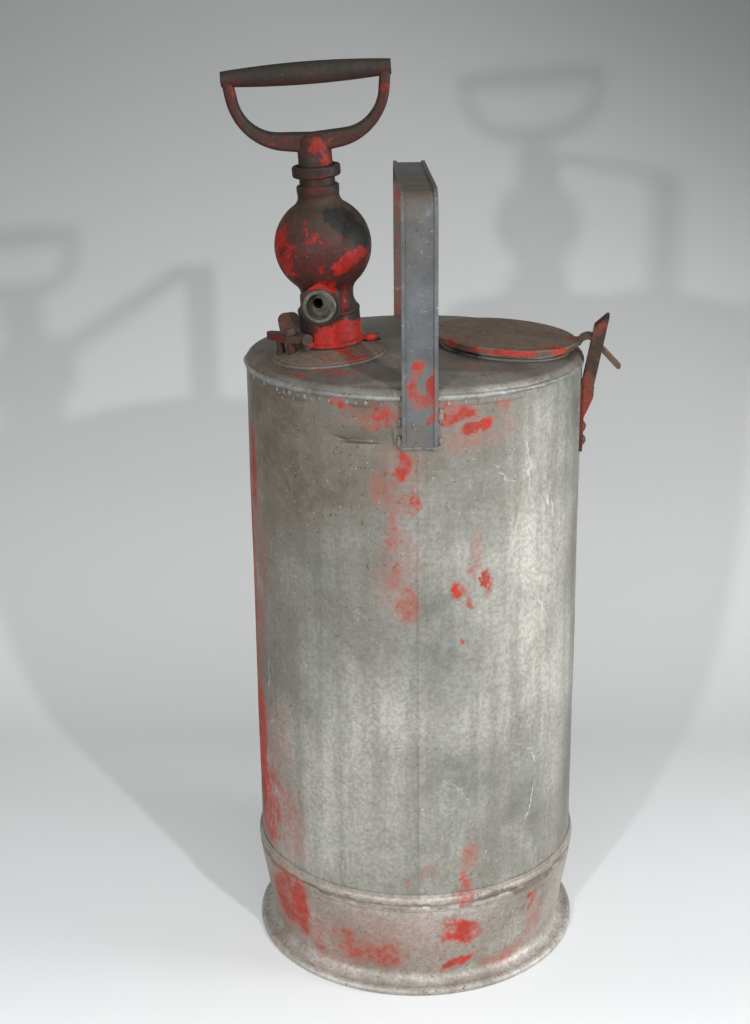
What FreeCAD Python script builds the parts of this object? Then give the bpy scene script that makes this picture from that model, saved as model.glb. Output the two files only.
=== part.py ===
import FreeCAD, Part
import math
import os

# A hand-pump water fire extinguisher, the portable tank kind that stands on the floor.
# A soldered sheet-steel tank stands on a tapered skirt with a wired, rolled foot.
# Its crowned deck carries a cast force pump with a ball-shaped air vessel on the left
# and a hinged filler lid on the right, and a strap handle arches over it front to back.
# The origin is on the tank's axis at floor level. +Z is up, -Y is the front with the
# hose outlet, and +X points at the lid. Sizes are in millimetres.

V = FreeCAD.Vector
UP = V(0, 0, 1)

# Tank body
tank_radius = 127.0
body_sheet = 1.2
body_bottom = 72.0
body_top = 478.5
side_seam_width = 9.0
side_seam_proud = 0.8
side_seam_turn = -87.0
side_seam_gap = 6.0

# Crowned deck
deck_sheet = 1.4
deck_lap = 9.0
rim_straight = 1.2
shoulder_radius = 4.5
deck_slope = 4.3
crown_reach = 35.0
rim_solder_height = 4.4
rim_solder_proud = 0.75

# Tank bottom
bottom_sheet = 1.2
bottom_height = 84.0
bottom_rise = 7.0
bottom_bend = 4.0

# Skirt and rolled foot
skirt_sheet = 1.2
skirt_top = 88.5
upper_bead_height = 82.3
upper_bead_half = 2.9
upper_bead_proud = 1.3
lower_bead_height = 76.2
lower_bead_half = 2.3
lower_bead_proud = 0.9
taper_height = 70.0
skirt_taper = 9.8
flare_radius = 7.0
foot_radius = 130.6
roll_radius = 3.3
roll_worn_flat = 0.4
roll_turn = 250.0
foot_wire_clear = 0.25

# Strap handle
strap_turn = 1.8
strap_width = 25.0
strap_thick = 1.6
strap_hem_width = 2.6
strap_hem_thick = 3.0
strap_top_front = 619.0
strap_top_back = 609.6
strap_foot = 444.0
strap_corner = 15.5
strap_gap = 0.8
strap_reach = tank_radius + strap_gap
handle_solder_reach = 3.0
handle_solder_top = 475.4
handle_solder_proud = 1.2

# Filler neck and lid, in a frame that leans with the deck
filler_turn = -7.0
filler_distance = 68.5
neck_radius = 47.0
neck_sheet = 1.4
neck_depth = 9.0
neck_height = 4.6
neck_lip = 2.2
neck_lip_thick = 1.4
neck_solder_size = 2.2
lid_radius = 54.0
lid_sheet = 1.8
lid_rim_depth = 4.2
lid_dome = 1.2
gasket_width = 6.0
gasket_thick = 2.2
gasket_gap = 0.3

# Lid hinge, in an upright frame turned to the filler
pivot_distance = 136.4
pivot_height = 492.5
hinge_pin_radius = 1.8
hinge_eye_wall = 1.6
run_clear = 0.08
tongue_width = 25.0
tongue_thick = 3.0
tongue_lap = 3.4
tongue_narrow = 15.6
tongue_rise = 5.0
tongue_round_back = 2.5
tail_width = 7.5
tail_thick = 3.6
tail_length = 25.0
tail_drop = 46.0
channel_lean = 10.7
channel_sheet = 2.0
channel_side_clear = 0.4
channel_depth = 9.5
channel_foot_height = 458.0
channel_top_height = 512.5
channel_top_cut = 8.0
channel_web_offset = 3.9
slot_side_clear = 0.8
slot_top = 493.0
slot_bottom = 463.5
leaf_width = 22.0
leaf_bottom = 410.0
leaf_throat = 22.0
leaf_bulge = 7.0
rivet_radius = 2.5
rivet_head_radius = 4.0
rivet_head_height = 2.2
rivet_heights = (416.5, 427.0)
pin_head_radius = 3.4
pin_head_thick = 1.6

# Pump, in a frame that leans with the deck
pump_turn = 206.5
pump_distance = 67.3
flange_radius = 41.5
flange_thick = 2.8
flange_shift = -2.8
flange_edge = 1.2
flange_hub_radius = 25.0
flange_hub_height = 8.3
flange_solder_size = 1.8
base_gasket_thick = 1.0
base_radius = 22.6
base_top = 32.5
barrel_radius = 19.05
barrel_wall = 1.2
barrel_top = 24.0
barrel_bottom = -345.0
barrel_hole_clear = 0.3
peg_radius = 3.0
peg_end = 36.3
peg_height = 9.8
peg_neck_radius = 2.2
peg_neck_end = 25.6
peg_groove_clear = 0.4

# Air vessel
vessel_foot_radius = 22.9
vessel_foot_land = 1.6
waist_radius = 19.2
waist_height = 45.5
ball_radius = 35.2
ball_height = 80.5
vessel_wall = 4.0
top_neck_radius = 15.0
top_neck_height = 117.0
collar_radius = 15.4
collar_bottom = 119.6
collar_top = 124.4
gland_neck_radius = 12.9
gland_neck_top = 133.2
stuffing_radius = 11.0
stuffing_floor = 121.4
spigot_bore = 16.0
spigot_gap = 0.4

# Hose outlet
outlet_turn = 7.0
outlet_height = 43.5
hex_flats = 28.2
hex_face = 32.0
hex_chamfer = 3.0
bush_radius = 12.2
bush_length = 14.0
bush_proud = 4.6
thread_radius = 9.32
thread_depth = 12.0
outlet_port_radius = 3.8
outlet_port_aside = 2.6

# Gland
packing_top = 129.0
follower_top = 135.2
nut_radius = 17.4
nut_bottom = 130.3
nut_top = 138.3
nut_edge = 1.6
nut_hole_radius = 10.4
nut_dish_radius = 14.4
nut_dish_depth = 1.2
nut_notch_radius = 1.8
nut_notch_turns = (60.0, 120.0)

# Plunger and D-handle
plunger_radius = 7.95
plunger_wall = 1.6
shank_radius = 12.2
shank_gap = 0.3
shank_round = 6.0
socket_depth = 12.0
grip_end_radius = 5.3
grip_middle_radius = 7.9
d_shift = -1.3
d_outer_half = 59.8
d_inner_half = 51.9
d_side_lean = 7.8
d_foot_gap = 8.7
d_outer_bottom = nut_top + d_foot_gap
d_height = 55.1
grip_height = d_outer_bottom + d_height
d_outer_rise = 8.5
d_outer_corner = 44.7
d_foot_depth = 14.0
d_inner_bottom = d_outer_bottom + d_foot_depth
d_inner_rise = 3.4
d_inner_corner = 28.4
d_thick_top = 9.6
d_thick_bottom = 16.0
d_edge = 3.0
handle_pin_radius = 1.6
handle_pin_sink = 0.3

# Piston and valves at the bottom of the stroke
piston_bottom = -334.0
piston_length = 26.0
piston_clear = 0.35
cup_height = 9.0
cup_wall = 1.6
piston_nut_height = 6.0
piston_bore = 5.0
piston_ball_radius = 6.2
foot_body_height = 37.0
foot_seat_bore = 6.5
foot_ball_radius = 9.0
foot_ball_lift = 5.0
foot_cage_thick = 2.5
strainer_height = 14.0
strainer_wall = 1.2
strainer_hole_radius = 1.6
strainer_holes = 12
seat_gap = 0.1

# Pump hold-down: a strap clamp with its heel on the flange and its toe on the base's lug
toe_place = (-17.5, -22.0)
stud_place = (-28.5, -16.5)
heel_place = (-37.2, -8.5)
bar_tip_place = (-43.5, -4.5)
bar_bottom = 15.0
bar_thick = 5.2
bar_half_width = 6.6
bar_end_radius = 3.4
heel_radius = 3.0
toe_radius = 4.4
toe_width = 6.4
clamp_stud_radius = 3.0
clamp_stud_clear = 0.3
clamp_stud_top = 24.4
nut_hub_radius = 5.0
nut_hub_height = 4.8
nut_seat_gap = 0.2
nut_tab_half = 8.4
nut_tab_foot_half = 7.0
nut_tab_corner = 5.4
nut_tab_rise = 15.9
nut_tab_thick = 3.0
nut_rest_turn = 12.0
lug_width = 6.4
lug_reach = 31.5


def edges_of(steps):
    """Edges through (x, z) points; a step of four numbers is an arc through its first pair."""
    edges = []
    here = V(steps[0][0], 0, steps[0][1])
    for step in steps[1:]:
        there = V(step[-2], 0, step[-1])
        if len(step) == 4:
            edges.append(Part.Arc(here, V(step[0], 0, step[1]), there).toShape())
        elif here.distanceToPoint(there) > 1e-6:
            edges.append(Part.LineSegment(here, there).toShape())
        here = there
    return edges


def closed_face(steps):
    return Part.Face(Part.Wire(edges_of(list(steps) + [steps[0][-2:]])))


def turned(steps):
    """A lathe shape: the closed outline in radius and height, spun about the Z axis."""
    return closed_face(steps).revolve(V(0, 0, 0), UP, 360)


def tube(outer, inner, bottom, top):
    return turned([(inner, bottom), (outer, bottom), (outer, top), (inner, top)])


def rod(radius, start, end):
    along = end - start
    return Part.makeCylinder(radius, along.Length, start, along)


def block(x0, x1, y0, y1, z0, z1):
    return Part.makeBox(x1 - x0, y1 - y0, z1 - z0, V(x0, y0, z0))


def plate(steps, y0, y1):
    """An outline in the XZ plane, given a width from y0 to y1."""
    face = closed_face(steps)
    face.translate(V(0, y0, 0))
    return face.extrude(V(0, y1 - y0, 0))


def arc_middle(centre, radius, start, end):
    angle = math.radians((start + end) / 2)
    return (centre[0] + radius * math.cos(angle), centre[1] + radius * math.sin(angle))


def on_circle(centre, radius, angle):
    angle = math.radians(angle)
    return (centre[0] + radius * math.cos(angle), centre[1] + radius * math.sin(angle))


def rounded(points, radius):
    """An open outline through points, with an arc of one radius at each corner between."""
    steps = [points[0]]
    for before, corner, after in zip(points, points[1:], points[2:]):
        back = V(before[0] - corner[0], 0, before[1] - corner[1]).normalize()
        ahead = V(after[0] - corner[0], 0, after[1] - corner[1]).normalize()
        half = back.getAngle(ahead) / 2
        reach = radius / math.tan(half)
        inward = (back + ahead).normalize() * (radius / math.sin(half) - radius)
        steps.append((corner[0] + back.x * reach, corner[1] + back.z * reach))
        steps.append((corner[0] + inward.x, corner[1] + inward.z,
                      corner[0] + ahead.x * reach, corner[1] + ahead.z * reach))
    steps.append(points[-1])
    return steps


def dome(radius, rise):
    """Halfway point of a spherical cap's section, as a radius and a height above its edge."""
    ball = (radius ** 2 + rise ** 2) / (2 * rise)
    half = math.asin(radius / ball) / 2
    return (ball * math.sin(half), rise - ball * (1 - math.cos(half)))


def joined(first, *others):
    shape = first.fuse(list(others))
    return shape.removeSplitter()


# Deck surface, outside
slope = math.radians(deck_slope)
shoulder_height = body_top + rim_straight
shoulder_centre = (tank_radius - shoulder_radius, shoulder_height)
shoulder_end = on_circle(shoulder_centre, shoulder_radius, 90 - deck_slope)
crown_edge_height = shoulder_end[1] + (shoulder_end[0] - crown_reach) * math.tan(slope)
crown_radius = crown_reach / math.sin(slope)
crown_centre = (0.0, crown_edge_height - crown_radius * math.cos(slope))


def deck_height(radius):
    """Height of the deck's outside on its straight slope."""
    return shoulder_end[1] + (shoulder_end[0] - radius) * math.tan(slope)


def leaning_frame(turn, distance):
    """A frame on the deck's surface whose Z axis stands square to the deck."""
    angle = math.radians(turn)
    seat = V(distance * math.cos(angle), distance * math.sin(angle), deck_height(distance))
    tangent = V(-math.sin(angle), math.cos(angle), 0)
    return FreeCAD.Placement(seat, FreeCAD.Rotation(tangent, deck_slope))


pump_frame = leaning_frame(pump_turn, pump_distance)
filler_lean = leaning_frame(filler_turn, filler_distance)
filler_spin = FreeCAD.Placement(V(0, 0, 0), FreeCAD.Rotation(UP, filler_turn))
lid_frame = filler_lean.multiply(filler_spin)
hinge_frame = filler_spin
strap_frame = FreeCAD.Placement(V(0, 0, 0), FreeCAD.Rotation(UP, strap_turn))


def placed(shape, frame):
    moved = shape.copy()
    moved.Placement = frame.multiply(moved.Placement)
    return moved


def deck_skin(depth):
    """Outline points of the deck's surface, sunk by a depth, from the shoulder to the axis."""
    end = on_circle(shoulder_centre, shoulder_radius - depth, 90 - deck_slope)
    middle = arc_middle(shoulder_centre, shoulder_radius - depth, 0, 90 - deck_slope)
    crown = crown_radius - depth
    edge = on_circle(crown_centre, crown, 90 - deck_slope)
    crown_middle = on_circle(crown_centre, crown, 90 - deck_slope / 2)
    start = (tank_radius - depth, shoulder_height)
    return [start, middle + end, edge, crown_middle + (0.0, crown_centre[1] + crown)]


def deck_block():
    """Everything below the deck's outside, down to the seam, for seating what stands on it."""
    return turned([(0, body_top - deck_lap), (tank_radius, body_top - deck_lap)] + deck_skin(0.0))


# Tank

def make_tank_body():
    wall = tube(tank_radius, tank_radius - body_sheet, body_bottom, body_top)
    half = math.degrees(side_seam_width / 2 / tank_radius)
    seam_outer = tank_radius + side_seam_proud
    fold = tube(seam_outer, tank_radius - body_sheet, skirt_top + 0.3, strap_foot - side_seam_gap)
    wedge = Part.makeCylinder(seam_outer + 5, body_top, V(0, 0, 0), UP, 2 * half)
    wedge.rotate(V(0, 0, 0), UP, side_seam_turn - half)
    return joined(wall, fold.common(wedge))


def make_tank_deck():
    lap_radius = tank_radius - body_sheet
    skin = deck_skin(0.0)
    inner = deck_skin(deck_sheet)
    back = [inner[3][-2:], inner[3][:2] + inner[2], inner[1][-2:]]
    back.append(inner[1][:2] + inner[0])
    outline = [(lap_radius, body_top - deck_lap), (lap_radius, body_top), (tank_radius, body_top)]
    outline += skin + back
    outline += [(lap_radius - deck_sheet, body_top - 1.0), (lap_radius - deck_sheet, body_top - deck_lap)]
    deck = turned(outline)
    pump_hole = placed(Part.makeCylinder(barrel_radius + barrel_hole_clear, 40, V(0, 0, -20)), pump_frame)
    filler_hole = placed(Part.makeCylinder(neck_radius, 40, V(0, 0, -20)), lid_frame)
    return deck.cut([pump_hole, filler_hole])


def make_rim_solder():
    low = body_top - rim_solder_height / 2 - 0.4
    high = low + rim_solder_height
    crest = (tank_radius + rim_solder_proud, (low + high) / 2)
    return turned([(tank_radius, low), crest + (tank_radius, high)])


def make_tank_bottom():
    outer = tank_radius - body_sheet
    inner = outer - bottom_sheet
    bend = (outer - bottom_bend, bottom_height - bottom_bend)
    under = bottom_bend - bottom_sheet
    half = dome(bend[0], bottom_rise)
    crown = bottom_height + half[1]
    return turned([
        (outer, body_bottom + 1.0),
        (outer, bend[1]),
        arc_middle(bend, bottom_bend, 0, 90) + (bend[0], bottom_height),
        (half[0], crown, 0.0, bottom_height + bottom_rise),
        (0.0, bottom_height + bottom_rise - bottom_sheet),
        (half[0], crown - bottom_sheet, bend[0], bottom_height - bottom_sheet),
        arc_middle(bend, under, 0, 90) + (inner, bend[1]),
        (inner, body_bottom + 1.0),
    ])


def make_base_skirt():
    taper = math.radians(skirt_taper)
    roll_inner = roll_radius - skirt_sheet
    roll_centre = (foot_radius - roll_radius, roll_radius - roll_worn_flat)
    sweep = flare_radius + skirt_sheet
    floor = roll_centre[1] + roll_inner
    cone_low = floor + sweep + sweep * math.sin(taper)
    cone_radius = tank_radius - (taper_height - cone_low) * math.tan(taper)
    flare_centre = (cone_radius + sweep * math.cos(taper), floor + sweep)
    cone_angle = 180 + skirt_taper
    steps = [(tank_radius, skirt_top)]
    for height, half, proud in ((upper_bead_height, upper_bead_half, upper_bead_proud),
                                (lower_bead_height, lower_bead_half, lower_bead_proud)):
        steps.append((tank_radius, height + half))
        steps.append((tank_radius + proud, height, tank_radius, height - half))
    steps.append((tank_radius, taper_height))
    steps.append((cone_radius, cone_low))
    steps.append(arc_middle(flare_centre, sweep, cone_angle, 270) + (flare_centre[0], floor))
    steps.append((roll_centre[0], floor))
    half_turn = on_circle(roll_centre, roll_inner, 90 - roll_turn / 2)
    steps.append(half_turn + on_circle(roll_centre, roll_inner, 90 - roll_turn))
    line = Part.Wire(edges_of(steps))
    strip = line.makeOffset2D(skirt_sheet, 0, True, True)
    skirt = strip.revolve(V(0, 0, 0), UP, 360)
    below = Part.makeCylinder(foot_radius + 20, 20, V(0, 0, -20))
    return skirt.cut(below)


def make_foot_wire():
    centre_height = roll_radius - roll_worn_flat
    wire_radius = roll_radius - skirt_sheet - foot_wire_clear
    return Part.makeTorus(foot_radius - roll_radius, wire_radius, V(0, 0, centre_height), UP)


# Strap handle

def strap_strip(thickness, x0, x1):
    """The handle's side line, given a thickness outwards and a width from x0 to x1."""
    line = Part.Wire(edges_of(rounded([
        (-strap_reach, strap_foot),
        (-strap_reach, strap_top_front - strap_thick),
        (strap_reach, strap_top_back - strap_thick),
        (strap_reach, strap_foot),
    ], strap_corner)))
    strip = line.makeOffset2D(thickness, 0, True, True)
    strip.rotate(V(0, 0, 0), UP, 90)
    strip.translate(V(x0, 0, 0))
    return strip.extrude(V(x1 - x0, 0, 0))


def make_strap_handle():
    half = strap_width / 2
    web = strap_strip(strap_thick, -half + strap_hem_width, half - strap_hem_width)
    left = strap_strip(strap_hem_thick, -half, -half + strap_hem_width)
    right = strap_strip(strap_hem_thick, half - strap_hem_width, half)
    return placed(joined(web, left, right), strap_frame)


def make_handle_solder():
    half = strap_width / 2 + handle_solder_reach
    front = strap_reach + handle_solder_proud
    tank = make_tank_body().fuse(Part.makeCylinder(tank_radius, body_top))
    handle = make_strap_handle()
    pads = []
    for side in (-1, 1):
        y0, y1 = sorted((side * (tank_radius - 2.0), side * front))
        pad = block(-half, half, y0, y1, strap_foot - handle_solder_reach, handle_solder_top)
        corners = [edge for edge in pad.Edges if abs(edge.tangentAt(edge.FirstParameter).y) > 0.9]
        pad = placed(pad.makeFillet(handle_solder_reach, corners), strap_frame)
        pads.append(biggest(pad.cut([tank, handle])))
    return Part.makeCompound(pads)


def biggest(shape):
    return max(shape.Solids, key=lambda solid: solid.Volume)


# Filler

def make_filler_neck():
    inner = neck_radius - neck_sheet
    return placed(turned([
        (inner, -neck_depth),
        (neck_radius, -neck_depth),
        (neck_radius, neck_height - neck_lip_thick),
        (neck_radius + neck_lip, neck_height - neck_lip_thick),
        (neck_radius + neck_lip, neck_height),
        (inner, neck_height),
    ]), lid_frame)


def make_neck_solder():
    low = -neck_solder_size * 2
    ring = turned([
        (neck_radius, low),
        (neck_radius + neck_solder_size, low),
        (neck_radius + neck_solder_size, 0.3),
        (neck_radius, neck_solder_size),
    ])
    return biggest(placed(ring, lid_frame).cut(deck_block()))


def lid_underside():
    return neck_height + gasket_gap + gasket_thick


def make_lid_gasket():
    outer = neck_radius + neck_lip + 0.6
    low = neck_height + gasket_gap
    return placed(tube(outer, outer - gasket_width, low, lid_underside()), lid_frame)


def hinge_arm():
    """The lid's tongue, eye and tail, in the upright hinge frame."""
    eye_radius = hinge_pin_radius + run_clear + hinge_eye_wall
    pivot = V(pivot_distance, 0, pivot_height)
    lid_top = lid_underside() + lid_sheet
    root = lid_frame_point(lid_radius - tongue_lap, lid_top)
    rise = lid_frame_point(lid_radius + 0.5, lid_top + 1.0)
    crest = (pivot_distance, pivot_height + eye_radius)
    bend = ((rise[0] + crest[0]) / 2, max(rise[1], crest[1]) + tongue_rise / 2)
    line = Part.Wire(edges_of([root, rise, bend + crest]))
    strip = line.makeOffset2D(-tongue_thick, 0, True, True)
    strip.translate(V(0, -tongue_width / 2, 0))
    blank = strip.extrude(V(0, tongue_width, 0))
    narrow = block(root[0] - 1, pivot_distance + 5, -tongue_narrow / 2, tongue_narrow / 2, 0, 600)
    wide = Part.makeCylinder(tongue_width / 2, 600, V(root[0] - tongue_round_back, 0, 0))
    tongue = blank.common(narrow.fuse(wide))
    eye = rod(eye_radius, pivot + V(0, -tongue_narrow / 2, 0), pivot + V(0, tongue_narrow / 2, 0))
    drop = math.radians(tail_drop)
    along = V(math.cos(drop), 0, -math.sin(drop))
    across = V(math.sin(drop), 0, math.cos(drop)) * (tail_thick / 2)
    tip = pivot + along * tail_length
    corners = [pivot + across, tip + across, tip - across, pivot - across]
    nose = tip + along * (tail_thick / 2)
    steps = [(corners[0].x, corners[0].z), (corners[1].x, corners[1].z)]
    steps.append((nose.x, nose.z, corners[2].x, corners[2].z))
    steps.append((corners[3].x, corners[3].z))
    tail = plate(steps, -tail_width / 2, tail_width / 2)
    arm = joined(tongue, eye, tail)
    bore = rod(hinge_pin_radius + run_clear, pivot - V(0, 30, 0), pivot + V(0, 30, 0))
    return arm.cut(bore)


def lid_frame_point(radius, height):
    """A point of the lid's own section, in the upright hinge frame."""
    x = filler_distance + radius * math.cos(slope) + height * math.sin(slope)
    z = deck_height(filler_distance) - radius * math.sin(slope) + height * math.cos(slope)
    return (x, z)


def make_lid():
    under = lid_underside()
    top = under + lid_sheet
    rim_inner = lid_radius - lid_sheet
    flat = neck_radius - neck_sheet - 2.0
    half = dome(flat, lid_dome)
    cover = placed(turned([
        (0.0, under + lid_dome),
        (half[0], under + half[1], flat, under),
        (rim_inner, under),
        (rim_inner, top - lid_rim_depth),
        (lid_radius, top - lid_rim_depth),
        (lid_radius, top - 0.9),
        (lid_radius - 0.9, top),
        (flat, top),
        (half[0], top + half[1], 0.0, top + lid_dome),
    ]), lid_frame)
    return joined(cover, placed(hinge_arm(), hinge_frame))


def make_hinge_bracket():
    lean = math.radians(channel_lean)
    inner_half = tongue_narrow / 2 + channel_side_clear
    outer_half = inner_half + channel_sheet

    def web_line(height):
        return pivot_distance + channel_web_offset + (height - pivot_height) * math.tan(lean)

    low = channel_foot_height
    high = channel_top_height
    back_low = web_line(low) + channel_sheet
    back_high = web_line(high) + channel_sheet
    flange = [
        (web_line(low) - channel_depth + channel_sheet, low),
        (back_low, low),
        (back_high, high),
        (web_line(high), high),
        (web_line(high - channel_top_cut) - channel_depth + channel_sheet, high - channel_top_cut),
    ]
    solid = plate(flange, -outer_half, outer_half)
    hollow = plate([
        (web_line(low) - channel_depth - 20, low + channel_sheet),
        (web_line(low + channel_sheet), low + channel_sheet),
        (web_line(high + 5), high + 5),
        (web_line(high) - channel_depth - 20, high + 5),
    ], -inner_half, inner_half)
    slot_half = tail_width / 2 + slot_side_clear
    slot = block(pivot_distance - 4, pivot_distance + 30, -slot_half, slot_half, slot_bottom, slot_top)
    leaf_outer = tank_radius + channel_sheet
    throat = low - leaf_throat
    leaf = plate([
        (tank_radius - 4, leaf_bottom),
        (leaf_outer, leaf_bottom),
        (leaf_outer, throat - 4.0),
        (leaf_outer + 0.4, throat, leaf_outer + 2.0, throat + 4.0),
        (back_low - 0.2, low - leaf_bulge),
        (back_low + 0.5, low - leaf_bulge / 2, back_low, low),
        (back_low, low + channel_sheet),
        (tank_radius - 4, low + channel_sheet),
    ], -leaf_width / 2, leaf_width / 2)
    core = Part.makeCylinder(tank_radius, 560)
    pivot = V(pivot_distance, 0, pivot_height)
    pin_hole = rod(hinge_pin_radius, pivot - V(0, 30, 0), pivot + V(0, 30, 0))
    for height in rivet_heights:
        leaf = leaf.cut(rod(rivet_radius, V(tank_radius - 6, 0, height), V(tank_radius + 20, 0, height)))
    channel = solid.cut([hollow, slot, pin_hole]).cut(core)
    return placed(joined(channel, leaf.cut(core)), hinge_frame)


def make_hinge_pin():
    half = tongue_narrow / 2 + channel_side_clear + channel_sheet
    start = V(pivot_distance, -half, pivot_height)
    end = V(pivot_distance, half, pivot_height)
    across = V(0, pin_head_thick, 0)
    pin = joined(rod(hinge_pin_radius, start, end),
                 rod(pin_head_radius, start - across, start),
                 rod(pin_head_radius, end, end + across))
    return placed(pin, hinge_frame)


def make_bracket_rivets():
    rivets = []
    leaf_face = tank_radius + channel_sheet
    half = dome(rivet_head_radius, rivet_head_height)
    for height in rivet_heights:
        head = turned([(0, 0), (rivet_head_radius, 0), half + (0, rivet_head_height)])
        shank = Part.makeCylinder(rivet_radius, channel_sheet + 2.0, V(0, 0, -channel_sheet - 2.0))
        rivet = joined(head, shank)
        rivet.rotate(V(0, 0, 0), V(0, 1, 0), 90)
        rivet.translate(V(leaf_face, 0, height))
        core = Part.makeCylinder(tank_radius, 2 * body_top)
        rivets.append(placed(rivet.cut(core), hinge_frame))
    return Part.makeCompound(rivets)


# Pump castings

def make_deck_flange():
    edge = flange_radius - flange_edge
    disc = turned([
        (0.0, -4.0),
        (flange_radius, -4.0),
        (flange_radius, flange_thick - flange_edge),
        on_circle((edge, flange_thick - flange_edge), flange_edge, 45) + (edge, flange_thick),
        (flange_hub_radius, flange_hub_height),
        (0.0, flange_hub_height),
    ])
    disc.translate(V(flange_shift, 0, 0))
    hole = Part.makeCylinder(barrel_radius + barrel_hole_clear, 40, V(0, 0, -20))
    under_peg = (V(base_radius - 2, 0, peg_height), V(peg_end + 30, 0, peg_height))
    groove = rod(peg_radius + peg_groove_clear, under_peg[0], under_peg[1])
    stud_seat = Part.makeCylinder(clamp_stud_radius, 40, V(stud_place[0], stud_place[1], -20))
    return placed(disc.cut([hole, groove, stud_seat]), pump_frame).cut(deck_block())


def make_flange_solder():
    low = -4.0
    ring = turned([
        (flange_radius, low),
        (flange_radius + flange_solder_size, low),
        (flange_radius + flange_solder_size, 0.2),
        (flange_radius, flange_thick - flange_edge),
    ])
    ring.translate(V(flange_shift, 0, 0))
    return biggest(placed(ring, pump_frame).cut(deck_block()))


def make_base_gasket():
    low = flange_hub_height
    ring = tube(base_radius - 0.6, barrel_radius, low, low + base_gasket_thick)
    return placed(ring, pump_frame)


def lug_direction():
    return math.degrees(math.atan2(toe_place[1], toe_place[0]))


def make_pump_base():
    low = flange_hub_height + base_gasket_thick
    body = turned([
        (barrel_radius, low),
        (base_radius + 1.2, low),
        (base_radius + 1.2, low + 2.0),
        (base_radius, low + 3.4),
        (base_radius, base_top - 0.8),
        (base_radius - 0.8, base_top),
        (barrel_radius, base_top),
    ])
    neck = rod(peg_neck_radius, V(base_radius - 0.4, 0, peg_height), V(peg_neck_end, 0, peg_height))
    head = rod(peg_radius, V(peg_neck_end, 0, peg_height), V(peg_end, 0, peg_height))
    rims = [edge for edge in head.Edges if edge.Closed]
    peg = neck.fuse(head.makeFillet(peg_radius - peg_neck_radius, rims))
    lug = block(barrel_radius + 1.5, lug_reach, -lug_width / 2, lug_width / 2, low, bar_bottom - 1.2)
    corners = [e for e in lug.Edges if e.BoundBox.XMin > lug_reach - 0.1 and e.BoundBox.YLength < 0.1]
    lug = lug.makeFillet(2.0, corners)
    lug.rotate(V(0, 0, 0), UP, lug_direction())
    return placed(joined(body, peg, lug), pump_frame)


def make_pump_barrel():
    shell = tube(barrel_radius, barrel_radius - barrel_wall, barrel_bottom, barrel_top)
    return placed(shell, pump_frame)


def blend_arc(neck_radius_here, neck_height_here, shell_radius):
    """The arc that runs from a neck, upright there, to touch the ball of a radius."""
    rise = neck_height_here - ball_height
    size = (neck_radius_here ** 2 + rise ** 2 - shell_radius ** 2) / (2 * (shell_radius - neck_radius_here))
    centre = (neck_radius_here + size, neck_height_here)
    far = math.hypot(centre[0], rise)
    touch = (shell_radius * centre[0] / far, ball_height + shell_radius * rise / far)
    back = V(touch[0] - centre[0], 0, touch[1] - centre[1]).normalize() + V(-1, 0, 0)
    back.normalize()
    middle = (centre[0] + back.x * size, centre[1] + back.z * size)
    return middle, touch


def make_air_vessel():
    inside_radius = ball_radius - vessel_wall
    low_middle, low_touch = blend_arc(waist_radius, waist_height, ball_radius)
    top_middle, top_touch = blend_arc(top_neck_radius, top_neck_height, ball_radius)
    in_middle, in_touch = blend_arc(spigot_bore, waist_height, inside_radius)
    bore = plunger_radius + run_clear
    roof = ball_height + math.sqrt(inside_radius ** 2 - (bore + 3.0) ** 2)
    foot_top = base_top + vessel_foot_land
    hollow = ((vessel_foot_radius + waist_radius) / 2 - 0.9, (base_top + waist_height) / 2 - 1.0)
    outer = turned([
        (bore, barrel_top + spigot_gap),
        (barrel_radius, barrel_top + spigot_gap),
        (barrel_radius, base_top),
        (vessel_foot_radius, base_top),
        (vessel_foot_radius, foot_top),
        hollow + (waist_radius, waist_height),
        low_middle + low_touch,
        (ball_radius, ball_height) + top_touch,
        top_middle + (top_neck_radius, top_neck_height),
        (collar_radius, collar_bottom),
        (collar_radius, collar_top - 0.9),
        (collar_radius - 0.9, collar_top),
        (gland_neck_radius, collar_top),
        (gland_neck_radius, gland_neck_top),
        (bore, gland_neck_top),
    ])
    cavity = turned([
        (0.0, barrel_top),
        (spigot_bore, barrel_top),
        (spigot_bore, waist_height),
        in_middle + in_touch,
        (inside_radius, ball_height, bore + 3.0, roof),
        (bore, roof + 2.0),
        (0.0, roof + 2.0),
    ])
    stuffing = Part.makeCylinder(stuffing_radius, 20, V(0, 0, stuffing_floor))
    across = hex_flats / 2 / math.cos(math.radians(30))
    corners = []
    for k in range(7):
        turn = math.radians(60 * k + 90)
        corners.append(V(across * math.cos(turn), 0, across * math.sin(turn)))
    hexagon = Part.Face(Part.makePolygon(corners)).extrude(V(0, -hex_face, 0))
    hexagon.translate(V(0, 0, outlet_height))
    forward = V(0, -1, 0)
    shoulder = hex_face - hex_chamfer
    chamfer = Part.makeCone(across + hex_chamfer / 2, across - hex_chamfer / 2, hex_chamfer,
                            V(0, -shoulder, outlet_height), forward)
    keep = Part.makeCylinder(across + hex_chamfer / 2, shoulder, V(0, 0, outlet_height), forward)
    keep = keep.fuse(chamfer)
    hexagon = hexagon.common(keep)
    hexagon.rotate(V(0, 0, 0), UP, -outlet_turn)
    clear_base = Part.makeCylinder(base_radius + 0.5, base_top, V(0, 0, 0))
    shell = joined(outer, hexagon.cut(clear_base)).cut([cavity, stuffing, Part.makeCylinder(bore, 200)])
    counterbore = rod(bush_radius, outlet_point(hex_face + bush_proud - bush_length), outlet_point(60))
    return placed(shell.cut([counterbore, outlet_port()]), pump_frame)


def outlet_point(reach):
    turn = math.radians(-90 - outlet_turn)
    return V(reach * math.cos(turn), reach * math.sin(turn), outlet_height)


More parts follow.
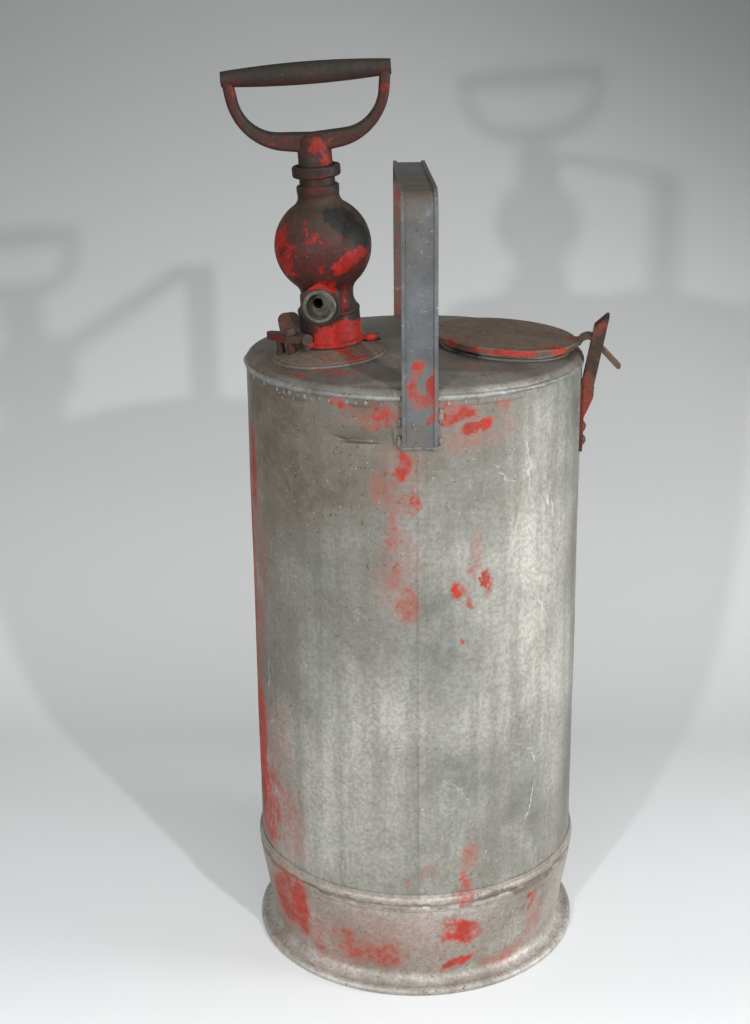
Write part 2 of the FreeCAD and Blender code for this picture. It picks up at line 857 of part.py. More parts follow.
def outlet_port():
    """The passage from the air vessel, drilled a little to one side of the bush."""
    turn = math.radians(-90 - outlet_turn)
    aside = V(math.sin(turn), -math.cos(turn), 0) * outlet_port_aside
    return rod(outlet_port_radius, outlet_point(5) + aside, outlet_point(60) + aside)


def make_outlet_bush():
    face = hex_face + bush_proud
    bush = rod(bush_radius, outlet_point(face - bush_length), outlet_point(face))
    mouth = outlet_point(face)
    rim = [edge for edge in bush.Edges if edge.Closed and edge.CenterOfMass.distanceToPoint(mouth) < 0.1]
    bush = bush.makeChamfer(0.8, rim)
    thread = rod(thread_radius, outlet_point(face - thread_depth), outlet_point(60))
    return placed(bush.cut([thread, outlet_port()]), pump_frame)


# Gland

def make_gland_packing():
    ring = tube(stuffing_radius, plunger_radius + run_clear, stuffing_floor, packing_top)
    return placed(ring, pump_frame)


def make_gland_follower():
    bore = plunger_radius + run_clear
    return placed(turned([
        (bore, packing_top),
        (stuffing_radius - run_clear, packing_top),
        (stuffing_radius - run_clear, gland_neck_top),
        (gland_neck_radius - 0.3, gland_neck_top),
        (gland_neck_radius - 0.3, follower_top),
        (bore, follower_top),
    ]), pump_frame)


def make_gland_nut():
    thread = gland_neck_radius + run_clear
    roof = follower_top + run_clear
    dish = nut_top - nut_dish_depth
    high = nut_top - nut_edge
    low = nut_bottom + nut_edge
    edge = nut_radius - nut_edge
    nut = turned([
        (thread, nut_bottom),
        (edge, nut_bottom),
        on_circle((edge, low), nut_edge, -45) + (nut_radius, low),
        (nut_radius, high),
        on_circle((edge, high), nut_edge, 45) + (edge, nut_top),
        (nut_dish_radius, nut_top),
        (nut_dish_radius - nut_dish_depth, dish),
        (nut_hole_radius, dish),
        (nut_hole_radius, roof),
        (thread, roof),
    ])
    notches = []
    for turn in nut_notch_turns:
        notch = Part.makeCylinder(nut_notch_radius, 20, V(nut_radius + 0.4, 0, nut_bottom - 2))
        notch.rotate(V(0, 0, 0), UP, turn)
        notches.append(notch)
    return placed(nut.cut(notches), pump_frame)


def shank_bottom():
    return nut_top - nut_dish_depth + shank_gap


# Plunger

def d_outline(half, bottom, rise, corner, top):
    """The D's outline: sides that lean in from the grip, round corners and a bottom that dips."""
    lean = math.tan(math.radians(d_side_lean))
    dip = math.tan(math.radians(rise))
    x = (half - (grip_height - bottom) * lean) / (1 - dip * lean)
    z = bottom + x * dip
    end = half + (top - grip_height) * lean
    return rounded([(-end, top), (-x, z), (0.0, bottom), (x, z), (end, top)], corner)


def make_d_handle():
    top = grip_height
    outer = d_outline(d_outer_half, d_outer_bottom, d_outer_rise, d_outer_corner, top)
    inner = d_outline(d_inner_half, d_inner_bottom, d_inner_rise, d_inner_corner, top + 1)
    bow = plate(outer, -d_thick_bottom, d_thick_bottom).cut(plate(inner, -30, 30))
    side = closed_face([
        (-d_thick_bottom / 2, d_outer_bottom - 1),
        (d_thick_bottom / 2, d_outer_bottom - 1),
        (d_thick_top / 2, top + 1),
        (-d_thick_top / 2, top + 1),
    ])
    side.rotate(V(0, 0, 0), UP, 90)
    side.translate(V(-d_outer_half - 5, 0, 0))
    bow = bow.common(side.extrude(V(2 * d_outer_half + 10, 0, 0)))
    long_edges = []
    for edge in bow.Edges:
        box = edge.BoundBox
        across = box.YLength > 0.8 * d_thick_top
        if not across and box.ZMin < top - 0.1:
            long_edges.append(edge)
    bow = bow.makeFillet(d_edge, long_edges)
    half = d_outer_half
    grip = closed_face([
        (-half, grip_height),
        (-half, grip_height + grip_end_radius),
        (0, grip_height + grip_middle_radius, half, grip_height + grip_end_radius),
        (half, grip_height),
    ]).revolve(V(0, 0, grip_height), V(1, 0, 0), 360)
    for shape in (bow, grip):
        shape.translate(V(d_shift, 0, 0))
    low = shank_bottom()
    high = d_inner_bottom - 0.4
    crown = shank_radius - shank_round
    shank = turned([
        (0.0, low),
        (shank_radius - 0.8, low),
        (shank_radius, low + 0.8),
        (shank_radius, high - shank_round),
        on_circle((crown, high - shank_round), shank_round, 45) + (crown, high),
        (0.0, high),
    ])
    socket = Part.makeCylinder(plunger_radius, socket_depth, V(0, 0, low))
    return placed(joined(bow, grip, shank).cut([socket, pin_rod(30)]), pump_frame)


def pin_rod(reach):
    height = shank_bottom() + socket_depth / 2
    return rod(handle_pin_radius, V(-reach, 0, height), V(reach, 0, height))


def make_plunger_tube():
    low = piston_bottom + piston_length
    high = shank_bottom() + socket_depth
    pipe = tube(plunger_radius, plunger_radius - plunger_wall, low, high)
    return placed(pipe.cut(pin_rod(30)), pump_frame)


def make_handle_pin():
    return placed(pin_rod(shank_radius - handle_pin_sink), pump_frame)


# Piston and valves

barrel_bore = barrel_radius - barrel_wall
piston_radius = barrel_bore - piston_clear


def make_piston_body():
    top = piston_bottom + piston_length
    neck = piston_radius - cup_wall - 4.5
    seat_height = piston_bottom + piston_nut_height + 3.0
    body = turned([
        (piston_bore, piston_bottom),
        (neck, piston_bottom),
        (neck, piston_bottom + piston_nut_height + cup_height),
        (piston_radius, piston_bottom + piston_nut_height + cup_height),
        (piston_radius, top - 6.0),
        (plunger_radius, top),
        (0.0, top),
        (0.0, top - 2.5),
        (piston_ball_radius + 0.6, top - 2.5),
        (piston_ball_radius + 0.6, seat_height + 3.0),
        (piston_bore, seat_height),
    ])
    ports = []
    for k in range(4):
        port = rod(2.6, V(0, 0, top - 7.0), V(piston_radius + 2, 0, top - 7.0))
        port.rotate(V(0, 0, 0), UP, 45 + 90 * k)
        ports.append(port)
    return placed(body.cut(ports), pump_frame)


def make_piston_cup():
    neck = piston_radius - cup_wall - 4.5
    low = piston_bottom + piston_nut_height
    high = low + cup_height
    edge = barrel_bore - 0.05
    return placed(turned([
        (neck, high - 2.0),
        (edge - cup_wall - 1.5, high - 2.0),
        (edge - cup_wall - 0.4, high - 2.4, edge - cup_wall, high - 3.5),
        (edge - cup_wall, low),
        (edge, low),
        (edge, high - 1.5),
        (edge - 1.5, high),
        (neck, high),
    ]), pump_frame)


def make_piston_nut():
    neck = piston_radius - cup_wall - 4.5
    nut = Part.makeCylinder(piston_radius - cup_wall - 2.0, piston_nut_height, V(0, 0, piston_bottom))
    flat = (piston_radius - cup_wall - 2.0) * math.cos(math.radians(30))
    hexagon = block(-flat, flat, -30, 30, piston_bottom, piston_bottom + piston_nut_height)
    for turn in (60, 120):
        side = block(-flat, flat, -30, 30, piston_bottom, piston_bottom + piston_nut_height)
        side.rotate(V(0, 0, 0), UP, turn)
        hexagon = hexagon.common(side)
    bore = Part.makeCylinder(neck, 60, V(0, 0, piston_bottom - 5))
    return placed(nut.common(hexagon).cut(bore), pump_frame)


def seated_ball_height(seat_height, bore, ball):
    """Centre height of a ball that rests in a bore's upper edge, with the seat's small gap."""
    return seat_height + math.sqrt(ball ** 2 - bore ** 2) + seat_gap


def make_piston_ball():
    seat_height = piston_bottom + piston_nut_height + 3.0
    height = seated_ball_height(seat_height, piston_bore, piston_ball_radius)
    return placed(Part.makeSphere(piston_ball_radius, V(0, 0, height)), pump_frame)


def make_foot_valve_body():
    low = barrel_bottom - foot_body_height
    seat = low + strainer_height - 4.0
    outer = barrel_radius + 2.0
    return placed(turned([
        (foot_seat_bore, low),
        (barrel_radius - 1.0, low),
        (barrel_radius - 1.0, low + 4.0),
        (outer, low + 6.0),
        (outer, barrel_bottom + 6.0),
        (barrel_radius, barrel_bottom + 6.0),
        (barrel_radius, barrel_bottom),
        (barrel_bore, barrel_bottom),
        (foot_ball_radius + 3.0, barrel_bottom - 3.0),
        (foot_ball_radius + 3.0, seat + 3.0),
        (foot_seat_bore, seat),
    ]), pump_frame)


def foot_ball_height():
    seat = barrel_bottom - foot_body_height + strainer_height - 4.0
    return seated_ball_height(seat, foot_seat_bore, foot_ball_radius)


def make_foot_valve_ball():
    return placed(Part.makeSphere(foot_ball_radius, V(0, 0, foot_ball_height())), pump_frame)


def make_foot_valve_cage():
    low = foot_ball_height() + foot_ball_radius + foot_ball_lift + 0.3
    ring = tube(foot_ball_radius + 3.0, foot_ball_radius + 1.0, low, low + foot_cage_thick)
    bar = block(-foot_ball_radius - 2.0, foot_ball_radius + 2.0, -2.0, 2.0, low, low + foot_cage_thick)
    return placed(joined(ring, bar), pump_frame)


def make_strainer():
    top = barrel_bottom - foot_body_height + 4.0
    low = top - strainer_height
    outer = barrel_radius - 1.0 + strainer_wall
    inner = barrel_radius - 1.0
    cup = turned([
        (0.0, low),
        (outer, low),
        (outer, top),
        (inner, top),
        (inner, low + strainer_wall),
        (0.0, low + strainer_wall),
    ])
    holes = []
    for k in range(strainer_holes):
        hole = rod(strainer_hole_radius, V(inner - 3, 0, low + 5.0), V(outer + 3, 0, low + 5.0))
        hole.rotate(V(0, 0, 0), UP, 360 / strainer_holes * k)
        holes.append(hole)
    return placed(cup.cut(holes), pump_frame)


# Hold-down clamp

def flat_hull(circles, low, high):
    """A plate whose outline wraps round circles given as (x, y, radius), in order along a line."""
    solids = []
    for (x0, y0, r0), (x1, y1, r1) in zip(circles, circles[1:]):
        reach = math.hypot(x1 - x0, y1 - y0)
        heading = math.atan2(y1 - y0, x1 - x0)
        side = math.acos((r0 - r1) / reach)
        points = []
        for x, y, r, sign in ((x0, y0, r0, 1), (x1, y1, r1, 1), (x1, y1, r1, -1), (x0, y0, r0, -1)):
            turn = heading + sign * side
            points.append(V(x + r * math.cos(turn), y + r * math.sin(turn), low))
        points.append(points[0])
        solids.append(Part.Face(Part.makePolygon(points)).extrude(V(0, 0, high - low)))
    for x, y, r in circles:
        solids.append(Part.makeCylinder(r, high - low, V(x, y, low)))
    return joined(*solids)


def make_clamp_bar():
    circles = [
        (bar_tip_place[0], bar_tip_place[1], bar_end_radius),
        (stud_place[0], stud_place[1], bar_half_width),
        (toe_place[0], toe_place[1], bar_end_radius),
    ]
    bar = flat_hull(circles, bar_bottom, bar_bottom + bar_thick)
    foot = V(heel_place[0], heel_place[1], 0.0)
    heel = rod(heel_radius, foot, foot + V(0, 0, bar_bottom + 1.0))
    centre = V(toe_place[0], toe_place[1], bar_bottom + bar_thick - toe_radius + 1.2)
    along = V(math.cos(math.radians(58)), -math.sin(math.radians(58)), 0)
    half = along * (toe_width / 2)
    curl = rod(toe_radius, centre - half, centre + half)
    below = block(-80, 40, -60, 60, -20, bar_bottom - 1.2)
    stud_foot = V(stud_place[0], stud_place[1], 0)
    stud_hole = Part.makeCylinder(clamp_stud_radius + clamp_stud_clear, 60, stud_foot)
    clamp = placed(joined(bar, heel, curl.cut(below)).cut(stud_hole), pump_frame)
    return clamp.cut(make_deck_flange())


def make_clamp_stud():
    low = 0.6
    stud = Part.makeCylinder(clamp_stud_radius, clamp_stud_top - low, V(stud_place[0], stud_place[1], low))
    tip = [e for e in stud.Edges if e.Closed and e.BoundBox.ZMin > clamp_stud_top - 0.1]
    return placed(stud.makeChamfer(0.6, tip), pump_frame).cut(deck_block())


def make_thumb_nut():
    low = bar_bottom + bar_thick + nut_seat_gap
    hub = turned([
        (0.0, low),
        (nut_hub_radius, low),
        (nut_hub_radius - 0.8, low + nut_hub_height),
        (0.0, low + nut_hub_height),
    ])
    top = low + nut_tab_rise
    tab = plate(rounded([
        (-nut_tab_foot_half, low + 1.0),
        (-nut_tab_half, top),
        (nut_tab_half, top),
        (nut_tab_foot_half, low + 1.0),
    ], nut_tab_corner), -nut_tab_thick / 2, nut_tab_thick / 2)
    nut = joined(hub, tab)
    hole_top = clamp_stud_top + run_clear
    nut = nut.cut(Part.makeCylinder(clamp_stud_radius + run_clear, hole_top - low + 1, V(0, 0, low - 1)))
    nut.rotate(V(0, 0, 0), UP, nut_rest_turn)
    nut.translate(V(stud_place[0], stud_place[1], 0))
    return placed(nut, pump_frame)


pieces = {
    "tank_body": make_tank_body,
    "tank_deck": make_tank_deck,
    "rim_solder": make_rim_solder,
    "tank_bottom": make_tank_bottom,
    "base_skirt": make_base_skirt,
    "foot_wire": make_foot_wire,
    "strap_handle": make_strap_handle,
    "handle_solder": make_handle_solder,
    "filler_neck": make_filler_neck,
    "neck_solder": make_neck_solder,
    "lid": make_lid,
    "lid_gasket": make_lid_gasket,
    "hinge_bracket": make_hinge_bracket,
    "hinge_pin": make_hinge_pin,
    "bracket_rivets": make_bracket_rivets,
    "deck_flange": make_deck_flange,
    "flange_solder": make_flange_solder,
    "base_gasket": make_base_gasket,
    "pump_base": make_pump_base,
    "pump_barrel": make_pump_barrel,
    "air_vessel": make_air_vessel,
    "outlet_bush": make_outlet_bush,
    "gland_packing": make_gland_packing,
    "gland_follower": make_gland_follower,
    "gland_nut": make_gland_nut,
    "d_handle": make_d_handle,
    "plunger_tube": make_plunger_tube,
    "handle_pin": make_handle_pin,
    "piston_body": make_piston_body,
    "piston_cup": make_piston_cup,
    "piston_nut": make_piston_nut,
    "piston_ball": make_piston_ball,
    "foot_valve_body": make_foot_valve_body,
    "foot_valve_ball": make_foot_valve_ball,
    "foot_valve_cage": make_foot_valve_cage,
    "strainer": make_strainer,
    "clamp_bar": make_clamp_bar,
    "clamp_stud": make_clamp_stud,
    "thumb_nut": make_thumb_nut,
}

os.makedirs("parts", exist_ok=True)
for name, make in pieces.items():
    shape = make()
    if not shape.isValid():
        print("not valid:", name)
    print(name, len(shape.Solids), round(shape.Volume, 1))
    shape.exportStep("parts/" + name + ".step")
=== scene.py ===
"""A hand-pump fire extinguisher: soldered zinc-coated tank, cast pump and hinged lid.

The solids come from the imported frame. This script gives them their finishes and adds the
pieces that are made by hand: the dented tank wall and its seam, the solder, the hose thread,
the dirt and the stage. Lengths are in metres, and lists of marks are in millimetres.
"""
import math

import bmesh
import bpy
from mathutils import Matrix, Vector


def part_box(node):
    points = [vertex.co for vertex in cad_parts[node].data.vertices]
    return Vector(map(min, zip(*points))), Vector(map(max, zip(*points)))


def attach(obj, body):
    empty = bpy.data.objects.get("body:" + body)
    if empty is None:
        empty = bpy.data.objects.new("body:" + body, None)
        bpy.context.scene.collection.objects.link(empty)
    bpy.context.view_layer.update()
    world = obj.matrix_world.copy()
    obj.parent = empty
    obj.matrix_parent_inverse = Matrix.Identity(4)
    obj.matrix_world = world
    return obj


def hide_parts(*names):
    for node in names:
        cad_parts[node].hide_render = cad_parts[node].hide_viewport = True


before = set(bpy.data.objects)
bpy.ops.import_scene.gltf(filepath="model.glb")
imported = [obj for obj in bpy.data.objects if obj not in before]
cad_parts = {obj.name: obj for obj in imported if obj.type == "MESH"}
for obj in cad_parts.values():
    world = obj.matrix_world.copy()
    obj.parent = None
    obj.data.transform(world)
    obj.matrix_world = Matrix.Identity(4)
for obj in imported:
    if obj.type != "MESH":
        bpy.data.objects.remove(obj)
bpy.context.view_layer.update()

bl_info = {
    "name": "Hand-pump fire extinguisher",
    "version": (1, 0, 0),
    "blender": (4, 5, 0),
    "location": "3D View > Sidebar > Extinguisher",
    "description": "Finishes and hand-made pieces of an old hand-pump fire extinguisher",
    "category": "Object",
}

MM = 0.001
TANK_RADIUS = 0.127
TANK_SHEET = 1.2 * MM
BODY_LOW, BODY_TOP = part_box("tank_body")[0].z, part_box("tank_body")[1].z
SKIRT_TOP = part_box("base_skirt")[1].z
RIM_HEIGHT = (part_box("rim_solder")[0].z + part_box("rim_solder")[1].z) / 2
SEAM_TURN = math.radians(-87.0)
STRAP_TURN = math.radians(1.8)
STRAP_FOOT = 0.444
STRAP_HALF_WIDTH = 12.5 * MM
DECK_SLOPE = math.radians(4.3)
PUMP_SEAT, PUMP_TURN = Vector((-0.06023, -0.03003, 0.48836)), math.radians(206.5)
LID_SEAT, LID_TURN = Vector((0.06799, -0.00835, 0.48827)), math.radians(-7.0)
OUTLET_FACE = Vector((-0.067558, -0.067786, 0.530226))
OUTLET_AXIS = Vector((-0.120479, -0.991853, -0.041384)).normalized()
NOISE_SCALE = 500  # a noise of this scale has blotches about 1 mm across


# Colours and nodes

def linear(code):
    """Turns an sRGB hex colour into the linear numbers that Blender works in."""
    shares = [int(code[i:i + 2], 16) / 255 for i in (1, 3, 5)]
    return tuple(s / 12.92 if s <= 0.04045 else ((s + 0.055) / 1.055) ** 2.4 for s in shares)


def colour(code):
    return linear(code) + (1.0,)


def add_node(tree, kind, inputs=None, **settings):
    """Adds a node; inputs maps a socket's name or number to a value or to an output to link."""
    node = tree.nodes.new(kind)
    for name, value in settings.items():
        setattr(node, name, value)
    for key, value in (inputs or {}).items():
        if isinstance(value, bpy.types.NodeSocket):
            tree.links.new(value, node.inputs[key])
        else:
            node.inputs[key].default_value = value
    return node


# Patterns

def calc(tree, operation, *values, clamp=False):
    sockets = dict(enumerate(values))
    return add_node(tree, "ShaderNodeMath", sockets, operation=operation, use_clamp=clamp).outputs[0]


def rise(tree, value, low, high, to_low=0.0, to_high=1.0):
    """Rises smoothly from to_low to to_high as the value goes from low to high."""
    sockets = {0: value, 1: low, 2: high, 3: to_low, 4: to_high}
    return add_node(tree, "ShaderNodeMapRange", sockets, interpolation_type="SMOOTHSTEP").outputs[0]


def blend(tree, amount, under, over):
    """One colour over another by an amount; a colour may be an sRGB hex code."""
    sockets = {0: amount}
    for key, value in ((6, under), (7, over)):
        sockets[key] = colour(value) if isinstance(value, str) else value
    return add_node(tree, "ShaderNodeMix", sockets, data_type="RGBA").outputs[2]


def cloud(tree, place, across, stretch=(1, 1, 1), shift=0.0, detail=4.0, rough=0.6):
    """Cloudy noise whose blotches are about so many millimetres across."""
    moved = add_node(tree, "ShaderNodeMapping", {0: place, 1: (shift, shift, shift), 3: stretch})
    sockets = {"Vector": moved.outputs[0], "Scale": NOISE_SCALE / across, "Detail": detail, "Roughness": rough}
    return add_node(tree, "ShaderNodeTexNoise", sockets).outputs[0]


def grit(tree, place, across, need, shift=0.0):
    """Ragged specks about so many millimetres across; a higher need leaves fewer of them."""
    return rise(tree, cloud(tree, place, across, shift=shift, detail=2.0, rough=0.7), need, need + 0.04)


def unrolled(tree, place):
    """The tank's wall laid flat: arc length from the front, and height."""
    parts = add_node(tree, "ShaderNodeSeparateXYZ", {0: place}).outputs
    front = calc(tree, "MULTIPLY", parts[1], -1.0)
    arc = calc(tree, "MULTIPLY", calc(tree, "ARCTAN2", parts[0], front), TANK_RADIUS)
    return add_node(tree, "ShaderNodeCombineXYZ", {0: arc, 1: parts[2]}).outputs[0]


def marks(tree, place, spots):
    """A field that stands level over each spot and falls to 0 at its edge.

    A spot is its centre, its half sizes, its turn in degrees and its height, in millimetres.
    Spots of two sizes lie on the unrolled wall and spots of three on any piece."""
    field = 0.0
    for spot in spots:
        sizes = (len(spot) - 2) // 2
        centre = [v * MM for v in spot[:sizes]] + [0.0] * (3 - sizes)
        half = [v * MM for v in spot[sizes:2 * sizes]] + [1.0] * (3 - sizes)
        turn = [0.0, 0.0, 0.0]
        turn[2 if sizes == 2 else 1] = math.radians(spot[-2])
        sockets = {0: place, 1: centre, 2: turn, 3: half}
        local = add_node(tree, "ShaderNodeMapping", sockets, vector_type="TEXTURE").outputs[0]
        ball = add_node(tree, "ShaderNodeTexGradient", {0: local}, gradient_type="SPHERICAL").outputs[1]
        field = calc(tree, "MAXIMUM", rise(tree, ball, 0.0, 0.65, 0.0, float(spot[-1])), field)
    return field


def wandering(tree, place, base, across=11.0, reach=9.0):
    """A place pushed about by some millimetres, so that the edge of a mark on it wanders."""
    sockets = {"Vector": place, "Scale": NOISE_SCALE / across, "Detail": 5.0, "Roughness": 0.65}
    noise = add_node(tree, "ShaderNodeTexNoise", sockets).outputs["Color"]
    push = add_node(tree, "ShaderNodeVectorMath", {0: noise, 1: (0.5, 0.5, 0.5)}, operation="SUBTRACT")
    sockets = {0: push.outputs[0], 1: (reach * 3 * MM,) * 3, 2: base}
    return add_node(tree, "ShaderNodeVectorMath", sockets, operation="MULTIPLY_ADD").outputs[0]


def flakes(tree, place, field, coarse=11.0, fine=2.4, shift=0.0, soft=0.0):
    """What is left of a coat of paint: whole where the field is 1, torn islands where it is less."""
    torn = cloud(tree, place, coarse, shift=shift, detail=7.0, rough=0.72)
    chips = cloud(tree, place, fine, shift=shift + 3.1, detail=3.0)
    level = calc(tree, "MULTIPLY_ADD", chips, 0.9, calc(tree, "MULTIPLY_ADD", torn, 1.7, field))
    return rise(tree, level, 1.8, 2.02 + soft)


def relief_of(tree, *layers):
    """The height of a surface, summed from noises or coats and how much each stands up."""
    height = 0.0
    for layer, share in layers:
        height = calc(tree, "MULTIPLY_ADD", layer, share, height)
    return height


def new_material(name):
    material = bpy.data.materials.new(name)
    material.use_nodes = True
    material.node_tree.nodes.clear()
    tree = material.node_tree
    return material, tree, add_node(tree, "ShaderNodeTexCoord").outputs["Object"]


def finish_material(tree, base, rough, metallic, height, depth, spec=0.5):
    """Ends a material in one shader; height is the relief, and depth its size in millimetres."""
    bump = add_node(tree, "ShaderNodeBump", {"Strength": 1.0, "Distance": depth * MM, "Height": height})
    shader = add_node(tree, "ShaderNodeBsdfPrincipled", {
        "Base Color": base, "Roughness": rough, "Metallic": metallic,
        "Normal": bump.outputs[0], "Specular IOR Level": spec})
    add_node(tree, "ShaderNodeOutputMaterial", {0: shader.outputs[0]})


# Finishes

def zinc_sheet(name, spots=(), scars=(), dark=(), pale=(), shade_lines=(), flat=True,
               tones=("#6d6e67", "#8e908a", "#bebcb4"), brown="#5b473a",
               dirt=0.4, rust=0.3, oxide=0.3, streaks=0.35, metallic=0.35):
    """Zinc-coated sheet steel that has hung in a damp shed: dull mottled grey with faint runs,
    white oxide, a brown coat of dust in its pores, scratches, and torn remains of red paint.
    Its dark marks add painted shade as well as dirt, its pale marks painted light as well as
    cleaner zinc, and the thin dark strokes it may be given are painted shade."""
    material, tree, place = new_material(name)
    wall = wandering(tree, place, unrolled(tree, place) if flat else place)
    broad = cloud(tree, place, 55, detail=4.0)
    mottle = cloud(tree, place, 13, shift=1.7, detail=8.0, rough=0.75)
    grain = cloud(tree, place, 1.5, shift=4.2, detail=2.0)
    run = cloud(tree, place, 6, stretch=(1, 1, 0.06), shift=2.4, detail=4.0)
    # bare zinc: mottled, paler at random and over the pale marks, which are cleaner zinc and painted light
    # together, with dark runs and grain
    tone = blend(tree, rise(tree, mottle, 0.32, 0.66), tones[0], tones[1])
    light = calc(tree, "MULTIPLY_ADD", marks(tree, wall, pale), 0.5, rise(tree, broad, 0.36, 0.72, 0.0, 0.6))
    tone = blend(tree, light, tone, tones[2])
    tone = blend(tree, rise(tree, run, 0.42, 0.66, 0.0, streaks), tone, tones[0])
    tone = blend(tree, rise(tree, grain, 0.36, 0.66, 0.0, 0.35), tone, "#63605a")
    # dirt and rust; the dark marks add to the dirt, as dirt and painted shade together
    dirt_and_shade = rise(tree, cloud(tree, place, 34, shift=7.7, detail=6.0), 0.4, 0.72, 0.0, dirt)
    dirt_and_shade = calc(tree, "MULTIPLY_ADD", marks(tree, wall, dark), 0.8, dirt_and_shade)
    dirt_and_shade_film = calc(tree, "MULTIPLY", dirt_and_shade, rise(tree, mottle, 0.3, 0.6, 0.55, 1.0), clamp=True)
    tone = blend(tree, dirt_and_shade_film, tone, "#61584c")
    rusty = rise(tree, cloud(tree, place, 4.5, shift=9.3, detail=6.0, rough=0.8), 0.55, 0.66, 0.0, rust)
    tone = blend(tree, rusty, tone, brown)
    # painted shade: thin dark strokes where shade falls, in creases and below what stands out
    if shade_lines:
        tone = blend(tree, marks(tree, unrolled(tree, place), shade_lines), tone, "#39322b")
    pits = calc(tree, "ADD", dirt_and_shade, rust)
    pits = calc(tree, "MULTIPLY", grit(tree, place, 1.3, 0.655, shift=0.3), pits, clamp=True)
    tone = blend(tree, pits, tone, "#41342b")
    # white oxide, in blooms and in specks
    bloom = rise(tree, cloud(tree, place, 8, shift=5.5, detail=9.0, rough=0.82), 0.56, 0.72, 0.0, oxide)
    tone = blend(tree, bloom, tone, "#cfd0cb")
    white = calc(tree, "MULTIPLY", grit(tree, place, 1.1, 0.69, shift=0.9),
                 rise(tree, broad, 0.4, 0.62, 0.15, 0.8))
    tone = blend(tree, white, tone, "#dcdcd6")
    # old red paint: a stain round it, then what still holds
    field = marks(tree, wall, spots)
    stain = calc(tree, "MULTIPLY", rise(tree, field, 0.0, 0.9, 0.0, 0.75), rise(tree, mottle, 0.34, 0.58))
    tone = blend(tree, stain, tone, "#9a5546")
    paint = flakes(tree, place, field, soft=0.3)
    red = tuple(bpy.context.scene.extinguisher.old_red) + (1.0,)
    red = blend(tree, rise(tree, mottle, 0.4, 0.6), red, "#8a2d22")
    worn = calc(tree, "MULTIPLY", paint, rise(tree, grain, 0.34, 0.66, 1.0, 0.85))
    tone = blend(tree, worn, tone, red)
    if scars:
        cut = calc(tree, "MULTIPLY", marks(tree, wall, scars), rise(tree, mottle, 0.36, 0.52))
        tone = blend(tree, cut, tone, "#cbcac4")
    dull = calc(tree, "ADD", calc(tree, "ADD", dirt_and_shade, rusty), paint, clamp=True)
    metal = calc(tree, "MULTIPLY", calc(tree, "SUBTRACT", 1.0, dull, clamp=True), metallic)
    relief = relief_of(tree, (paint, 0.25), (mottle, 0.5), (grain, 0.3))
    finish_material(tree, tone, rise(tree, mottle, 0.3, 0.7, 0.44, 0.62), metal, relief, 0.4, spec=0.35)
    return material


def painted_casting(name, spots=(), soot=(), ground=("#2b2420", "#403028", "#4c1f17"), red="#ab1d13",
                    old="#641811", dust="#655c4f", dust_amount=0.5, cast=1.3, gloss=0.5):
    """An iron casting under old paint: brown-black ground with crimson remains, bright red where
    a younger coat is left, dull dust on what faces up, and the pebbled skin of sand casting."""
    material, tree, place = new_material(name)
    broad = cloud(tree, place, 20, detail=5.0)
    blotch = cloud(tree, place, 6, shift=2.2, detail=8.0, rough=0.75)
    grain = cloud(tree, place, cast, shift=5.2, detail=2.0)
    tone = blend(tree, rise(tree, broad, 0.4, 0.62), ground[0], ground[1])
    tone = blend(tree, rise(tree, blotch, 0.48, 0.66, 0.0, 0.8), tone, ground[2])
    normal = add_node(tree, "ShaderNodeNewGeometry").outputs["Normal"]
    facing = add_node(tree, "ShaderNodeSeparateXYZ", {0: normal}).outputs[2]
    level = calc(tree, "MULTIPLY_ADD", blotch, 1.1, rise(tree, facing, -0.2, 0.95, 0.0, 0.9))
    drift = wandering(tree, place, place, 7.0, 5.0)
    field = marks(tree, drift, spots)
    paint = flakes(tree, place, field, coarse=8.0, fine=1.8, shift=1.1)
    remains = blend(tree, rise(tree, blotch, 0.4, 0.62), old, ground[2])
    tone = blend(tree, rise(tree, field, 0.0, 0.6, 0.0, 0.92), tone, remains)
    tone = blend(tree, rise(tree, level, 0.6, 1.35, 0.0, dust_amount), tone, dust)
    fresh = blend(tree, rise(tree, blotch, 0.42, 0.68), red, "#98231b")
    tone = blend(tree, calc(tree, "MULTIPLY", paint, rise(tree, level, 0.6, 1.5, 1.0, 0.75)), tone, fresh)
    if soot:
        black = calc(tree, "MULTIPLY_ADD", blotch, 0.5, marks(tree, drift, soot))
        tone = blend(tree, rise(tree, black, 0.5, 0.8), tone, "#252523")
    tone = blend(tree, rise(tree, grain, 0.42, 0.68, 0.08, 0.42), tone, "#1f1a16")
    tone = blend(tree, grit(tree, place, 1.0, 0.71, shift=8.1), tone, "#7f776a")
    relief = relief_of(tree, (paint, 0.3), (blotch, 0.5), (grain, 0.35))
    rough = rise(tree, blotch, 0.3, 0.7, gloss - 0.08, gloss + 0.2)
    finish_material(tree, tone, rough, 0.0, relief, 0.35, spec=0.3)
    return material


def plain_finish(name, low, high, spot="#2a241d", across=6.0, metallic=0.0, rough=(0.3, 0.55)):
    """One stuff in two close tones with dark spots, as dulled brass, rubber, leather or yarn is."""
    material, tree, place = new_material(name)
    blotch = cloud(tree, place, across, detail=7.0, rough=0.7)
    grain = cloud(tree, place, 1.2, shift=3.0, detail=2.0)
    tone = blend(tree, rise(tree, blotch, 0.36, 0.64), low, high)
    spots = cloud(tree, place, across / 2, shift=6.0, detail=5.0)
    tone = blend(tree, rise(tree, spots, 0.56, 0.7, 0.0, 0.7), tone, spot)
    relief = calc(tree, "MULTIPLY_ADD", grain, 0.4, blotch)
    finish_material(tree, tone, rise(tree, blotch, 0.3, 0.7, *rough), metallic, relief, 0.12)
    return material


# Modelling

def start_piece(name):
    """The piece that the last primitive made becomes the named one, and opens in edit mode."""
    piece = bpy.context.object
    piece.name = name
    piece.data.name = name
    bpy.ops.object.mode_set(mode="EDIT")
    return piece


def deselect():
    if bpy.context.mode != "OBJECT":
        bpy.ops.object.mode_set(mode="OBJECT")
    bpy.ops.object.select_all(action="DESELECT")


